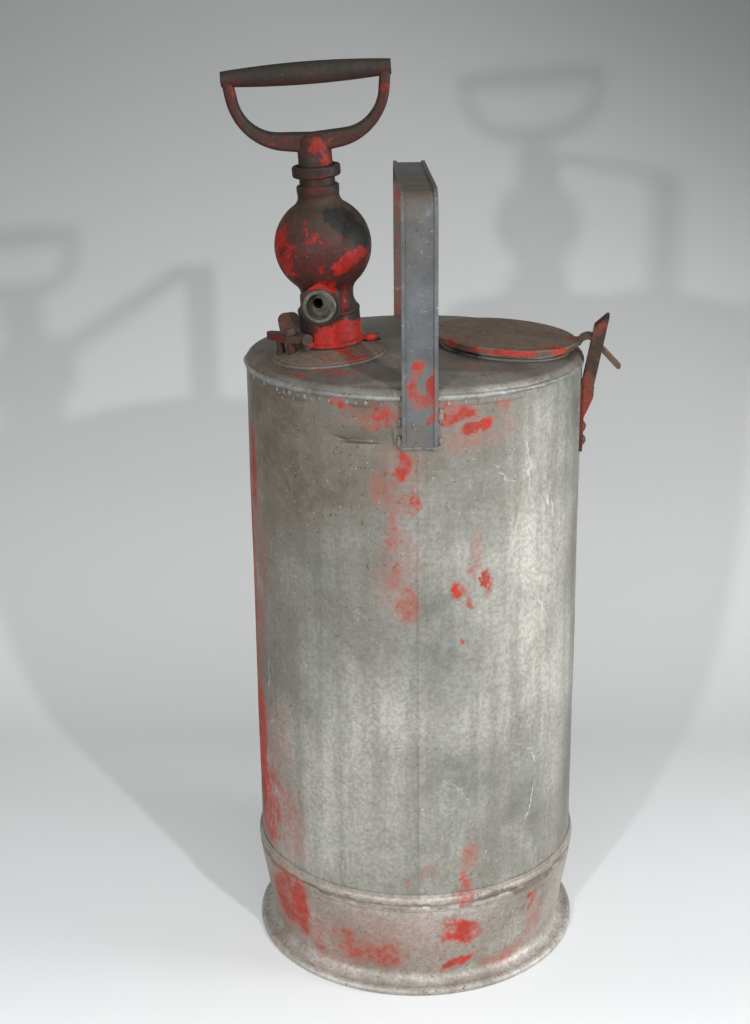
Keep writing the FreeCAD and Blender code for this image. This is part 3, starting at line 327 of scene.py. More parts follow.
def pick(kind, test):
    """Selects, in edit mode, the vertices, edges or faces that pass a test."""
    bpy.ops.mesh.select_mode(type=kind)
    bpy.ops.mesh.select_all(action="DESELECT")
    shape = bmesh.from_edit_mesh(bpy.context.object.data)
    found = 0
    for part in {"VERT": shape.verts, "EDGE": shape.edges, "FACE": shape.faces}[kind]:
        if test(part):
            part.select_set(True)
            found += 1
    if not found:
        raise RuntimeError("nothing was picked on " + bpy.context.object.name)
    bmesh.update_edit_mesh(bpy.context.object.data)


def only(piece):
    deselect()
    piece.select_set(True)
    bpy.context.view_layer.objects.active = piece


def apply_modifier(piece, kind, **settings):
    only(piece)
    modifier = piece.modifiers.new(kind.title(), kind)
    for name, value in settings.items():
        setattr(modifier, name, value)
    bpy.ops.object.modifier_apply(modifier=modifier.name)


def uneven(piece, across, depth, group="", middle=0.5, detail=2):
    """Makes a surface uneven with bumps so many millimetres across and deep."""
    lumps = bpy.data.textures.new(piece.name + "_lumps", "CLOUDS")
    lumps.noise_scale = across * MM
    lumps.noise_depth = detail
    apply_modifier(piece, "DISPLACE", texture=lumps, strength=depth * MM, mid_level=middle,
                   vertex_group=group, texture_coords="LOCAL")
    bpy.data.textures.remove(lumps)


def join_pieces(pieces, name):
    """Makes pieces one, with their places settled."""
    deselect()
    for piece in pieces:
        piece.select_set(True)
    bpy.context.view_layer.objects.active = pieces[0]
    bpy.ops.object.join()
    pieces[0].name = name
    only(pieces[0])
    bpy.ops.object.transform_apply(location=True, rotation=True, scale=True)
    return pieces[0]


def close_piece(piece, material, body="tank", instead=()):
    """Settles a finished piece: origin place, smooth shading, finish, and what it rides on."""
    only(piece)
    bpy.ops.object.transform_apply(location=True, rotation=True, scale=True)
    bpy.ops.object.shade_smooth_by_angle(angle=math.radians(40))
    piece.data.materials.clear()
    piece.data.materials.append(material)
    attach(piece, body)
    if instead:
        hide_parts(*instead)
    deselect()


def give(material, *nodes):
    """Gives CAD nodes their finish."""
    for name in nodes:
        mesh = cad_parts[name].data
        mesh.materials.clear()
        mesh.materials.append(material)


def on_wall(arc, height, radius=TANK_RADIUS):
    """The point of the tank's wall at an arc length from the front and a height, in millimetres."""
    turn = arc * MM / TANK_RADIUS
    return Vector((radius * math.sin(turn), -radius * math.cos(turn), height * MM))


# Marks in millimetres. On the wall and skirt: arc from the front, height, half sizes, turn, strength.

WALL_PAINT = (
    (-128, 150, 44, 120, 0, 0.4), (-150, 330, 26, 130, 0, 0.42), (-10, 420, 22, 44, 0, 0.5),
    (-12, 360, 22, 60, 0, 0.4), (48, 450, 46, 18, 6, 0.42), (-30, 462, 34, 16, 0, 0.42),
    (30.6, 467, 22, 11, 0, 0.98), (45, 455, 22, 9, 12, 0.98), (22, 473, 9, 5, 0, 0.9),
    (66, 469, 13, 7, 0, 0.62), (-20, 466, 16, 14, 0, 0.72), (-29.4, 460, 12, 10, 0, 0.66),
    (-55.4, 470.8, 12, 5, -8, 0.85), (-8.5, 430, 10, 20, 0, 0.92), (-1, 402, 8, 9, 0, 0.8),
    (-27, 411, 8, 26, 0, 0.55), (-14, 375, 12, 40, 0, 0.52), (-5, 326, 16, 24, 0, 0.66),
    (-14, 348, 8, 20, 0, 0.6), (31.4, 334, 7, 10, 20, 0.92), (52.8, 338, 6, 15, 0, 0.95),
    (38, 323.5, 6, 5, 0, 0.85), (35.3, 298, 5, 5, 0, 0.85), (46, 360, 10, 30, 0, 0.42),
    (-160, 402, 16, 55, 0, 0.9), (-166, 165, 30, 110, 0, 1.0), (-146, 130, 40, 70, 0, 0.75),
    (-118, 120, 44, 60, 0, 0.5), (36, 95, 9, 22, 0, 0.8), (42, 118, 12, 20, 0, 0.55),
    (-6, 97, 7, 9, 0, 0.62), (-174, 290, 22, 170, 0, 0.8), (10, 110, 10, 14, 0, 0.42),
)
# Darker marks on the wall, dirt and painted shade together: the top and left of the wall are darkened as
# painted shade, and the first mark is painted shade in the crease beside the strap.
WALL_DIRT_AND_SHADE = (
    (-40, 446.5, 24, 2.2, 2, 1.3), (-115, 430, 90, 120, 0, 1.15), (-50, 450, 100, 90, 0, 1.0),
    (50, 460, 60, 50, 0, 0.5), (-130, 300, 60, 200, 0, 0.5), (0, 100, 130, 24, 0, 0.3),
    (-40, 330, 60, 120, 0, 0.25), (8, 300, 9, 200, 0, 0.15), (12, 430, 14, 20, 0, 0.6),
    (60, 470, 60, 14, 0, 0.25),
)
# Paler marks on the wall, cleaner zinc and painted light together: the right side and the lower left are lit up
# as painted light, and the last mark is a painted highlight on the lip below the crease.
WALL_CLEAN_AND_LIT = (
    (112, 330, 60, 190, 0, 1.2), (60, 250, 60, 120, 0, 0.6), (130, 230, 40, 160, 0, 1.3),
    (-60, 140, 90, 90, 0, 1.0), (-20, 230, 60, 80, 0, 0.6), (-125, 150, 50, 110, 0, 1.0),
    (-40, 441, 20, 2.0, 2, 1.0),
)
# Thin dark strokes of painted shade on the wall: in the crease beside the strap, the strap's shadow to its
# left, and below the rim's bead.
WALL_SHADE_LINES = (
    (-38, 444.6, 22, 1.4, 2, 0.85), (-52, 446.5, 12, 1.2, -14, 0.7), (-15, 450, 1.4, 12, 4, 0.5),
    (-95, 470, 22, 2.2, 1, 0.4), (-40, 471.5, 22, 1.8, 0, 0.45), (60, 472, 40, 1.4, 0, 0.3),
)
WALL_SCARS = (
    (83, 202, 12, 0.8, -40, 0.8), (92, 196, 11, 0.8, 12, 0.8), (100, 188, 7, 0.7, -55, 0.9),
    (30, 178, 13, 0.6, -30, 0.7), (40, 171, 9, 0.6, -50, 0.7), (98, 255, 0.9, 28, 0, 0.7),
    (104, 310, 0.9, 20, 4, 0.6), (110, 345, 19, 0.7, -35, 0.55), (-138, 245, 0.7, 36, -3, 0.6),
    (-139, 200, 5, 0.8, 40, 0.6), (72, 220, 0.7, 36, 0, 0.4), (97, 150, 1.0, 25, -14, 0.8),
    (-96, 150, 1.0, 36, 22, 0.35), (66, 420, 17, 0.9, -28, 0.4), (118, 380, 1.2, 14, 0, 0.7),
    (112, 392, 1.6, 10, 0, 0.9), (106, 332, 1.8, 7, 0, 0.9), (88, 420, 1.6, 30, 3, 0.5),
    (80, 372, 1.4, 22, -4, 0.5),
)
SKIRT_PAINT = (
    (-50, 32, 66, 30, 0, 0.66), (-128, 50, 34, 46, 0, 0.85), (-20, 45, 110, 44, 0, 0.36),
    (29, 55, 20, 20, 0, 0.8), (44, 47, 14, 15, 0, 0.8), (-61, 27, 52, 26, 0, 0.58),
    (-29, 30, 36, 25, 0, 0.7), (-104, 52, 20, 46, -6, 0.9), (-121, 72, 17, 24, 0, 0.92),
    (37, 53, 19, 14, 0, 0.93), (37, 22, 19, 10, 14, 0.95), (102, 62, 7, 13, 0, 0.85),
    (110, 36, 20, 32, 0, 0.5), (80, 16, 38, 11, 0, 0.6), (-86, 34, 28, 36, 0, 0.55),
    (-140, 40, 24, 50, 0, 0.5), (36, 84, 11, 11, 0, 0.8),
)
SKIRT_DARK = ((0, 79, 400, 3.4, 0, 0.9), (-100, 60, 60, 40, 0, 0.3), (100, 60, 50, 40, 0, 0.3))
SKIRT_PALE = ((0, 4, 430, 12, 0, 1.3),)

# On the other pieces: x, y and z of the middle, half sizes, turn about y, strength.

STRAP_PAINT = (
    (1, -129, 498, 5, 8, 15, 10, 0.95), (-2, -129, 484, 10, 8, 12, 0, 0.9),
    (13, -129, 487, 6, 8, 16, 0, 0.95), (5, -130, 477, 16, 8, 7, 0, 0.85),
    (14, -130, 466, 6, 8, 10, 0, 0.7), (0, 128, 540, 60, 8, 190, 0, 0.5),
)
# Darker marks on the strap, mostly painted shade: on its top face, in the dimple at the front bend and on the
# inside of the back leg, with a darker patch near the front foot.
STRAP_DIRT_AND_SHADE = (
    (0, -60, 615, 60, 120, 12, 0, 1.2), (2, -122, 606, 10, 14, 9, 0, 1.2),
    (-8, -129, 567, 5, 8, 3, 0, 1.2), (0, -129, 450, 20, 8, 16, 0, 0.8),
    (0, 128, 540, 60, 10, 190, 0, 0.8),
)
STRAP_SOLDER_PAINT = ((14, -130, 465, 6, 6, 8, 0, 0.7),)
DECK_PAINT = (
    (-83, -83, 486, 9, 9, 6, 0, 0.8), (-45, -85, 486, 16, 11, 7, 0, 0.5),
    (-60, -74, 488, 24, 8, 6, 0, 0.6), (40, -70, 488, 22, 20, 7, 0, 0.42),
)
DECK_DARK = (
    (-95, -50, 486, 60, 70, 14, 0, 1.2), (70, 0, 488, 70, 60, 10, 0, 0.7),
    (0, 60, 488, 120, 60, 10, 0, 0.3),
)
DECK_PALE = (
    (20, -112, 484, 100, 13, 9, 0, 1.1), (50, -96, 485, 60, 22, 9, 0, 1.1),
    (95, -66, 484, 30, 40, 9, 0, 0.6),
)
FLANGE_PAINT = (
    (-36, -62, 491, 22, 9, 7, 0, 0.78), (-50, -56, 495, 13, 8, 6, 0, 0.75),
    (-64, -64, 491, 12, 6, 5, 0, 0.6),
)
LID_PAINT = (
    (24, -42, 498, 16, 8, 6, 0, 0.85), (34, -30, 499, 20, 5, 5, 0, 0.7),
    (36, -58, 496, 26, 10, 6, 0, 0.7), (74, -61, 494, 40, 6, 7, 0, 0.9),
    (106, -46, 493, 18, 12, 7, 0, 0.8), (120, -10, 495, 14, 12, 8, 0, 0.7),
)
BRACKET_PAINT = ((130, -26, 440, 12, 14, 46, 0, 0.72), (136, -27, 506, 8, 8, 12, 0, 0.6))
VESSEL_PAINT = (
    (-97, -40, 565, 26, 50, 34, 0, 0.62), (-66, -40, 566, 70, 70, 60, 0, 0.38),
    (-95, -40, 572, 34, 50, 46, 0, 0.5), (-45, -60, 563, 15, 18, 9, -15, 1.0),
    (-36, -52, 568, 7, 16, 10, 0, 0.95), (-53, -62, 557, 12, 12, 7, 0, 0.85),
    (-92, -50, 572, 16, 30, 26, 0, 0.62), (-72, -64, 560, 20, 12, 16, 0, 0.5),
    (-76, -60, 586, 7, 10, 6, 0, 0.6), (-70, -64, 545, 13, 10, 6, 0, 1.0),
    (-58, -62, 543, 10, 10, 6, 0, 0.95), (-88, -56, 556, 8, 10, 8, 0, 0.6),
    (-67, -50, 610, 14, 10, 7, 0, 0.6), (-50, -50, 528, 12, 14, 12, 0, 0.7),
    (-50, -46, 540, 10, 14, 10, 0, 0.5),
)
VESSEL_SOOT = ((-46, -54, 584, 29, 26, 12, 35, 1.1), (-33, -46, 576, 10, 18, 11, 35, 1.0))
BASE_PAINT = (
    (-48, -50, 506, 34, 26, 17, 0, 1.0), (-38, -36, 504, 16, 26, 16, 0, 0.95),
    (-66, -52, 502, 18, 12, 10, 0, 0.85),
)
BASE_SOOT = ((-40, -44, 518, 14, 14, 5, 0, 0.6),)
CLAMP_PAINT = ((-100, -46, 503, 20, 14, 7, 0, 0.6),)
GRIP_PAINT = (
    (-66, -46, 640, 20, 20, 12, 0, 0.62), (-60, -46, 630, 10, 14, 10, 0, 0.66),
    (-76, -43, 681, 90, 14, 8, 0, 0.36), (-20, -42, 666, 16, 14, 44, 0, 0.42),
    (-127, -42, 668, 16, 14, 34, 0, 0.42), (-73, -43, 644, 70, 14, 14, 0, 0.42),
)
GLAND_PAINT = ((-67, -50, 618, 14, 10, 5, 0, 0.55),)

# Dents of the wall: points on it (arc and height), how deep as a share of the set depth, and reach.
DENTS = (
    (((-58, 447), (-38, 448), (-20, 445)), 1.0, 14), (((-58, 446), (-38, 446.5), (-19, 444)), 0.8, 6),
    (((-52, 454), (-26, 454)), -0.5, 8), (((-46, 462), (-30, 462)), 0.35, 16),
    (((-15, 452), (-14, 436)), 0.3, 10), (((-95, 330),), 0.7, 34), (((70, 215),), 0.6, 30),
    (((95, 380), (98, 350)), 0.5, 26), (((-120, 150),), 0.8, 30), (((20, 250),), 0.35, 40),
    (((100, 120), (92, 108)), 0.5, 16), (((-150, 240), (-150, 190)), 0.6, 20),
)
DENT_STEPS = 12

# Where pieces seat on the wall, so that it stays true: arc, half width and lowest height.
SEATS = ((4, 20, 425), (-395, 20, 425), (395, 20, 425), (184, 18, 395))

# Drops of solder: arc, height and radius; and the lumps at each foot of the strap: x, height and radius.
RIM_DROPS = (
    (-112, 474, 1.3), (-104, 473.6, 1.0), (-98, 474.3, 1.5), (-90, 473.4, 1.1), (-83, 474.2, 1.4),
    (-77, 472.6, 0.9), (-70, 474, 1.2), (-62, 473.4, 1.0), (-48, 474.2, 1.2), (-41, 473.6, 0.9),
    (-34, 474.4, 1.3), (24, 474.2, 1.1), (36, 474.5, 1.2), (58, 474.6, 1.0), (80, 475, 1.2),
    (97, 475.3, 1.3), (120, 475.6, 1.1), (142, 475.4, 1.2), (-130, 474.8, 1.2), (-150, 475, 1.3),
    (-106, 468.5, 0.8), (-86, 466.5, 0.7), (-94, 470, 0.9), (-73, 468, 0.7), (210, 475, 1.3),
    (240, 474.6, 1.1), (275, 475, 1.4), (320, 474.8, 1.1), (350, 474.5, 1.2),
)
FOOT_LUMPS = (
    (-13.8, 446, 2.0), (-14.2, 449.5, 1.4), (-13.9, 461, 1.7), (13.9, 447, 1.8), (14.2, 468, 1.5),
    (13.8, 464.5, 1.9), (-11, 442.6, 2.0), (-7, 442.3, 1.6), (-2, 442.8, 2.1), (5, 442.6, 1.8),
    (10, 442.4, 2.2), (12.6, 443, 1.6),
)


class ExtinguisherLooks(bpy.types.PropertyGroup):
    """Sizes and colours of the hand-made pieces."""

    wall_wave: bpy.props.FloatProperty(
        name="Wall unevenness", description="How deep the old sheet wanders in and out",
        default=0.9 * MM, unit="LENGTH", subtype="DISTANCE")
    dent_depth: bpy.props.FloatProperty(
        name="Dent depth", description="Depth of the crease beside the strap",
        default=1.8 * MM, unit="LENGTH", subtype="DISTANCE")
    bead_size: bpy.props.FloatProperty(
        name="Solder bead", description="Half the height of the rim's solder bead",
        default=2.2 * MM, unit="LENGTH", subtype="DISTANCE")
    thread_pitch: bpy.props.FloatProperty(
        name="Thread pitch", description="Pitch of the hose outlet's thread",
        default=1.81 * MM, unit="LENGTH", subtype="DISTANCE")
    old_red: bpy.props.FloatVectorProperty(
        name="Old red", description="Colour of the paint that is left",
        size=3, subtype="COLOR", default=linear("#aa2519"))
    backdrop: bpy.props.FloatVectorProperty(
        name="Backdrop", description="Colour of the wall behind",
        size=3, subtype="COLOR", default=linear("#a7a9a8"))


class EXT_OT_tank_wall(bpy.types.Operator):
    """Tank wall: the rolled sheet with its dents and slow waves, and the soldered side seam"""

    bl_idname = "extinguisher.tank_wall"
    bl_label = "Tank wall"

    def execute(self, context):
        looks = context.scene.extinguisher
        deselect()
        height = BODY_TOP - BODY_LOW
        bpy.ops.mesh.primitive_cylinder_add(vertices=240, radius=TANK_RADIUS, depth=height,
                                            end_fill_type="NOTHING", location=(0, 0, BODY_LOW + height / 2))
        wall = start_piece("tank_wall")
        pick("EDGE", lambda e: abs(e.verts[0].co.z - e.verts[1].co.z) > 0.1)
        bpy.ops.mesh.subdivide(number_cuts=100)
        bpy.ops.object.mode_set(mode="OBJECT")
        bpy.ops.object.transform_apply(location=True, rotation=False, scale=False)
        free = wall.vertex_groups.new(name="free")
        for vertex in wall.data.vertices:
            free.add([vertex.index], self.freedom(vertex.co), "REPLACE")
        uneven(wall, 85, looks.wall_wave / MM, group="free", detail=0)
        uneven(wall, 26, looks.wall_wave / MM * 0.35, group="free", detail=1)
        bpy.ops.object.mode_set(mode="EDIT")
        for line, depth, reach in DENTS:
            self.push(line, looks.dent_depth * depth, reach)
        bpy.ops.object.mode_set(mode="OBJECT")
        apply_modifier(wall, "SOLIDIFY", thickness=TANK_SHEET, offset=-1.0)
        zinc = zinc_sheet("weathered_zinc_wall", WALL_PAINT, WALL_SCARS, WALL_DIRT_AND_SHADE, WALL_CLEAN_AND_LIT, WALL_SHADE_LINES)
        close_piece(wall, zinc, instead=["tank_body"])
        self.seam(zinc)
        return {"FINISHED"}

    @staticmethod
    def freedom(place):
        """How far a point of the wall may wander: not at all where something seats on it."""
        arc = math.atan2(place.x, -place.y) * TANK_RADIUS / MM
        height = place.z / MM
        share = min(1.0, max(0.0, (468 - height) / 22)) * min(1.0, max(0.0, (height - 92) / 18))
        for centre, half, low in SEATS:
            if height > low and abs(arc - centre) < half:
                share = 0.0
        return share

    @staticmethod
    def push(line, depth, reach):
        """Presses the wall in round one or more points, fading out over a reach in millimetres."""
        steps = places = [on_wall(arc, height) for arc, height in line]
        if len(places) > 1:
            steps = [start.lerp(end, k / DENT_STEPS) for start, end in zip(places, places[1:])
                     for k in range(DENT_STEPS + 1)]
        shape = bmesh.from_edit_mesh(bpy.context.object.data)
        near = set()
        for step in steps:
            near.add(min(shape.verts, key=lambda v: (v.co - step).length_squared).index)
        middle = sum(steps, Vector()) / len(steps)
        inward = Vector((-middle.x, -middle.y, 0)).normalized() * depth
        pick("VERT", lambda v: v.index in near)
        bpy.ops.transform.translate(value=inward, use_proportional_edit=True, use_proportional_connected=False,
                                    proportional_edit_falloff="SMOOTH", proportional_size=reach * MM)

    @staticmethod
    def seam(material):
        """The side seam: a lapped fold of the sheet, flattened and tinned."""
        deselect()
        low, high = SKIRT_TOP + 0.3 * MM, STRAP_FOOT - 6 * MM
        bpy.ops.mesh.primitive_cube_add(size=1, location=(0, 0, (low + high) / 2),
                                        scale=(9 * MM, TANK_SHEET, high - low))
        seam = start_piece("side_seam")
        pick("EDGE", lambda e: abs(e.verts[0].co.z - e.verts[1].co.z) > 0.1)
        bpy.ops.mesh.subdivide(number_cuts=260)
        pick("EDGE", lambda e: abs(e.verts[0].co.x - e.verts[1].co.x) > 5 * MM)
        bpy.ops.mesh.subdivide(number_cuts=7)
        pick("EDGE", lambda e: len(e.link_faces) == 2 and e.calc_face_angle() > 1.2)
        bpy.ops.mesh.bevel(offset=0.5 * MM, segments=2)
        bpy.ops.object.mode_set(mode="OBJECT")
        bpy.ops.object.transform_apply(location=True, rotation=False, scale=True)
        uneven(seam, 9, 0.5, detail=1)
        uneven(seam, 30, 0.4, detail=0)
        seam.location = (TANK_RADIUS - 0.25 * MM) * Vector((math.cos(SEAM_TURN), math.sin(SEAM_TURN), 0))
        seam.rotation_euler = (0, 0, SEAM_TURN + math.pi / 2)
        close_piece(seam, material)


def solder_ring(name, node, seat, lean_turn, radius, size, material, gaps=()):
    """A run of solder laid by hand round a joint: a bead that swells and thins along its way.

    It leans with the deck where it has a lean turn, and leaves out gaps of a turn and half a width."""
    def in_gap(place):
        turn = math.atan2(place.y, place.x)
        return any(abs(math.remainder(turn - middle, math.tau)) < half for middle, half in gaps)

    deselect()
    bpy.ops.mesh.primitive_torus_add(major_segments=360, minor_segments=12, major_radius=radius,
                                     minor_radius=size)
    ring = start_piece(name)
    if gaps:
        pick("FACE", lambda f: in_gap(f.calc_center_median()))
        bpy.ops.mesh.delete(type="FACE")
        bpy.ops.mesh.select_mode(type="EDGE")
        bpy.ops.mesh.select_all(action="DESELECT")
        bpy.ops.mesh.select_non_manifold()
        bpy.ops.mesh.fill_holes(sides=0)
    bpy.ops.object.mode_set(mode="OBJECT")
    uneven(ring, 16, size / MM * 0.8, detail=1)
    uneven(ring, 4.5, size / MM * 0.55)
    place = Matrix.Translation(seat)
    if lean_turn is not None:
        across = Vector((-math.sin(lean_turn), math.cos(lean_turn), 0))
        place = place @ Matrix.Rotation(DECK_SLOPE, 4, across)
    ring.matrix_world = place
    close_piece(ring, material, instead=[node])


class EXT_OT_solder(bpy.types.Operator):
    """Solder: the rim's bead and its drips, the flange's and neck's runs, and the strap's feet"""

    bl_idname = "extinguisher.solder"
    bl_label = "Solder"

    def execute(self, context):
        looks = context.scene.extinguisher
        bright = zinc_sheet("rim_solder_bright", flat=False, dirt=0.3, rust=0.5, oxide=0.9, streaks=0.0,
                            tones=("#62625e", "#92948f", "#d0d2d2"), metallic=0.4)
        dirty = zinc_sheet("solder_dirty", flat=False, dirt=0.8, rust=0.9, oxide=0.15, streaks=0.0,
                           tones=("#4a4139", "#665d54", "#857f77"), metallic=0.25)
        lumps = zinc_sheet("strap_solder_grey", STRAP_SOLDER_PAINT, flat=False, dirt=0.6, rust=0.6,
                           oxide=0.5, streaks=0.0, tones=("#56534e", "#77746e", "#9a9892"), metallic=0.3)
        half = (STRAP_HALF_WIDTH + 0.6 * MM) / TANK_RADIUS
        gaps = ((math.radians(-90) + STRAP_TURN, half), (math.radians(90) + STRAP_TURN, half))
        solder_ring("rim_bead", "rim_solder", Vector((0, 0, RIM_HEIGHT)), None, TANK_RADIUS - 0.55 * MM,
                    looks.bead_size, bright, gaps=gaps)
        for name, node, seat, turn in (("flange_bead", "flange_solder", PUMP_SEAT, PUMP_TURN),
                                       ("neck_bead", "neck_solder", LID_SEAT, LID_TURN)):
            low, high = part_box(node)
            middle = Vector(((low.x + high.x) / 2, (low.y + high.y) / 2, seat.z))
            solder_ring(name, node, middle, turn, (high.y - low.y) / 2 - 1.4 * MM, 1.5 * MM, dirty)
        self.drips(bright)
        self.feet(lumps)
        return {"FINISHED"}

    @staticmethod
    def drips(material):
        """Drops and short runs of solder below the bead."""
        deselect()
        drops = []
        for arc, height, size in RIM_DROPS:
            bpy.ops.mesh.primitive_ico_sphere_add(subdivisions=2, radius=size * MM,
                                                  location=on_wall(arc, height, TANK_RADIUS - 0.2 * MM))
            drop = start_piece("drop")
            low = min(v.co.z for v in drop.data.vertices)
            pick("VERT", lambda v: v.co.z < low * 0.5)
            bpy.ops.transform.translate(value=(0, 0, -0.7 * size * MM))
            bpy.ops.object.mode_set(mode="OBJECT")
            drop.rotation_euler = (0, 0, arc * MM / TANK_RADIUS)
            drop.scale = (1, 0.55, 1)
            drops.append(drop)
        drips = join_pieces(drops, "rim_drips")
        uneven(drips, 2.5, 0.4)
        close_piece(drips, material)

    @staticmethod
    def feet(material):
        """Lumps of solder that hold the strap's two feet, run together."""
        deselect()
        lumps = []
        for side in (0.0, math.pi):
            for x, z, size in FOOT_LUMPS:
                bpy.ops.mesh.primitive_ico_sphere_add(subdivisions=2, radius=size * MM)
                lump = start_piece("lump")
                bpy.ops.transform.resize(value=(1.5, 1.0, 2.2) if abs(x) > 13 else (1.9, 1.0, 1.1))
                bpy.ops.object.mode_set(mode="OBJECT")
                turn = side + STRAP_TURN + x * MM / TANK_RADIUS
                outward = Vector((math.sin(turn), -math.cos(turn), 0))
                lump.location = outward * (TANK_RADIUS + 0.3 * MM) + Vector((0, 0, z * MM))
                lump.rotation_euler = (0, 0, turn)
                lumps.append(lump)
        feet = join_pieces(lumps, "strap_solder")
        apply_modifier(feet, "REMESH", mode="VOXEL", voxel_size=0.6 * MM)
        apply_modifier(feet, "SMOOTH", factor=0.8, iterations=5)
        uneven(feet, 3.0, 0.9)
        close_piece(feet, material, instead=["handle_solder"])


class EXT_OT_hose_outlet(bpy.types.Operator):
    """Hose outlet: the brass bush with its chamfered mouth and its inside thread"""

    bl_idname = "extinguisher.hose_outlet"
    bl_label = "Hose outlet"

    def execute(self, context):
        looks = context.scene.extinguisher
        deselect()
        bpy.ops.mesh.primitive_circle_add(vertices=4, radius=0.55 * MM, rotation=(math.pi / 2, 0, 0),
                                          location=(9.75 * MM, 0, -11 * MM))
        thread = start_piece("outlet_thread")
        bpy.ops.object.mode_set(mode="OBJECT")
        bpy.ops.object.transform_apply(location=True, rotation=True, scale=True)
        apply_modifier(thread, "SCREW", angle=math.tau, screw_offset=looks.thread_pitch, iterations=5,
                       steps=56, render_steps=56, use_normal_calculate=True)
        thread.rotation_mode = "QUATERNION"
        thread.rotation_quaternion = OUTLET_AXIS.to_track_quat("Z", "Y")
        thread.location = OUTLET_FACE
        brass = plain_finish("tarnished_brass", "#45433a", "#6a685a", across=4.0, metallic=0.45,
                             rough=(0.42, 0.62))
        close_piece(thread, brass)
        give(brass, "outlet_bush")
        return {"FINISHED"}


class EXT_OT_sheet_finishes(bpy.types.Operator):
    """Sheet steel: finishes of the skirt, foot, strap, deck, neck, lid and hinge bracket"""

    bl_idname = "extinguisher.sheet_finishes"
    bl_label = "Sheet finishes"

    def execute(self, context):
        give(zinc_sheet("weathered_zinc_skirt", SKIRT_PAINT, dark=SKIRT_DARK, pale=SKIRT_PALE,
                        tones=("#938a7f", "#ada59c", "#c8c4be"), brown="#654c3d", dirt=0.6, rust=0.5,
                        oxide=0.2), "base_skirt", "foot_wire")
        give(zinc_sheet("weathered_zinc_bottom", dirt=0.6, rust=0.6), "tank_bottom")
        give(zinc_sheet("weathered_zinc_strap", STRAP_PAINT, dark=STRAP_DIRT_AND_SHADE, flat=False,
                        tones=("#474b4e", "#5f6468", "#858b8f"), dirt=0.35, rust=0.4, oxide=0.5,
                        streaks=0.15, metallic=0.3), "strap_handle")
        give(zinc_sheet("dirty_deck", DECK_PAINT, dark=DECK_DARK, pale=DECK_PALE, flat=False,
                        tones=("#5c544c", "#79726a", "#a09d98"), brown="#4a372b", dirt=0.8, rust=0.7,
                        oxide=0.35, streaks=0.0, metallic=0.2), "tank_deck", "filler_neck")
        give(painted_casting("flange_paint", FLANGE_PAINT, ground=("#45382f", "#5e4c41", "#6a4a3d"),
                             red="#b4382b", dust="#7a6c60", dust_amount=0.75), "deck_flange")
        give(painted_casting("lid_brown", LID_PAINT, ground=("#4a3d33", "#5f4e43", "#6f4a3c"), red="#a83c2c",
                             old="#7a4234", dust="#7d6a5b", dust_amount=0.75, cast=2.2, gloss=0.55), "lid")
        give(painted_casting("bracket_rust", BRACKET_PAINT, ground=("#33281f", "#4b3529", "#6a4334"),
                             red="#74382a", old="#5c3529", dust="#5a463a", dust_amount=0.3),
             "hinge_bracket", "bracket_rivets", "hinge_pin")
        return {"FINISHED"}


class EXT_OT_casting_finishes(bpy.types.Operator):
    """Castings: finishes of the pump, its air vessel, the gland, the clamp and the D-handle"""

    bl_idname = "extinguisher.casting_finishes"
    bl_label = "Casting finishes"

    def execute(self, context):
        give(painted_casting("vessel_paint", VESSEL_PAINT, VESSEL_SOOT, dust="#48463b", dust_amount=0.55,
                             ground=("#28231f", "#37302a", "#44201a")), "air_vessel")
        give(painted_casting("base_paint", BASE_PAINT, BASE_SOOT, dust_amount=0.25, red="#b4231a"), "pump_base")
        give(painted_casting("clamp_paint", CLAMP_PAINT, ground=("#33271f", "#4a352c", "#5a2f24"),
                             dust="#5c4a3d", dust_amount=0.5), "clamp_bar", "clamp_stud", "thumb_nut")
        give(painted_casting("grip_iron", GRIP_PAINT, ground=("#302c27", "#3f332d", "#4c2c23"), red="#8f2416",
                             old="#4d1f19", dust="#37352e", dust_amount=0.8, cast=1.6, gloss=0.58),
             "d_handle", "handle_pin")
        give(painted_casting("gland_paint", GLAND_PAINT, ground=("#2a221e", "#372a24", "#42251e"),
                             dust="#40372f", dust_amount=0.5), "gland_nut", "gland_follower")
        return {"FINISHED"}


class EXT_OT_inner_finishes(bpy.types.Operator):
    """Inside parts: brass, leather, rubber and packing"""

    bl_idname = "extinguisher.inner_finishes"
    bl_label = "Inner finishes"

    def execute(self, context):
        give(plain_finish("inner_brass", "#8f7440", "#b59a5c", across=8.0, metallic=0.95, rough=(0.28, 0.46)),
             "pump_barrel", "plunger_tube", "piston_body", "piston_nut", "piston_ball", "foot_valve_body",
             "foot_valve_ball", "foot_valve_cage", "strainer")
        give(plain_finish("perished_rubber", "#1f1c1a", "#332e2a", across=3.0, rough=(0.7, 0.9)),
             "lid_gasket", "base_gasket")
        give(plain_finish("cup_leather", "#4a2f1d", "#6a452a", across=2.5, rough=(0.55, 0.75)), "piston_cup")
        give(plain_finish("packing_yarn", "#6d6250", "#8d8069", across=1.5, rough=(0.85, 0.95)),
             "gland_packing")
        return {"FINISHED"}


# Stage: a lamp is its name, place, aim, size in metres, cone in degrees and power in watts.

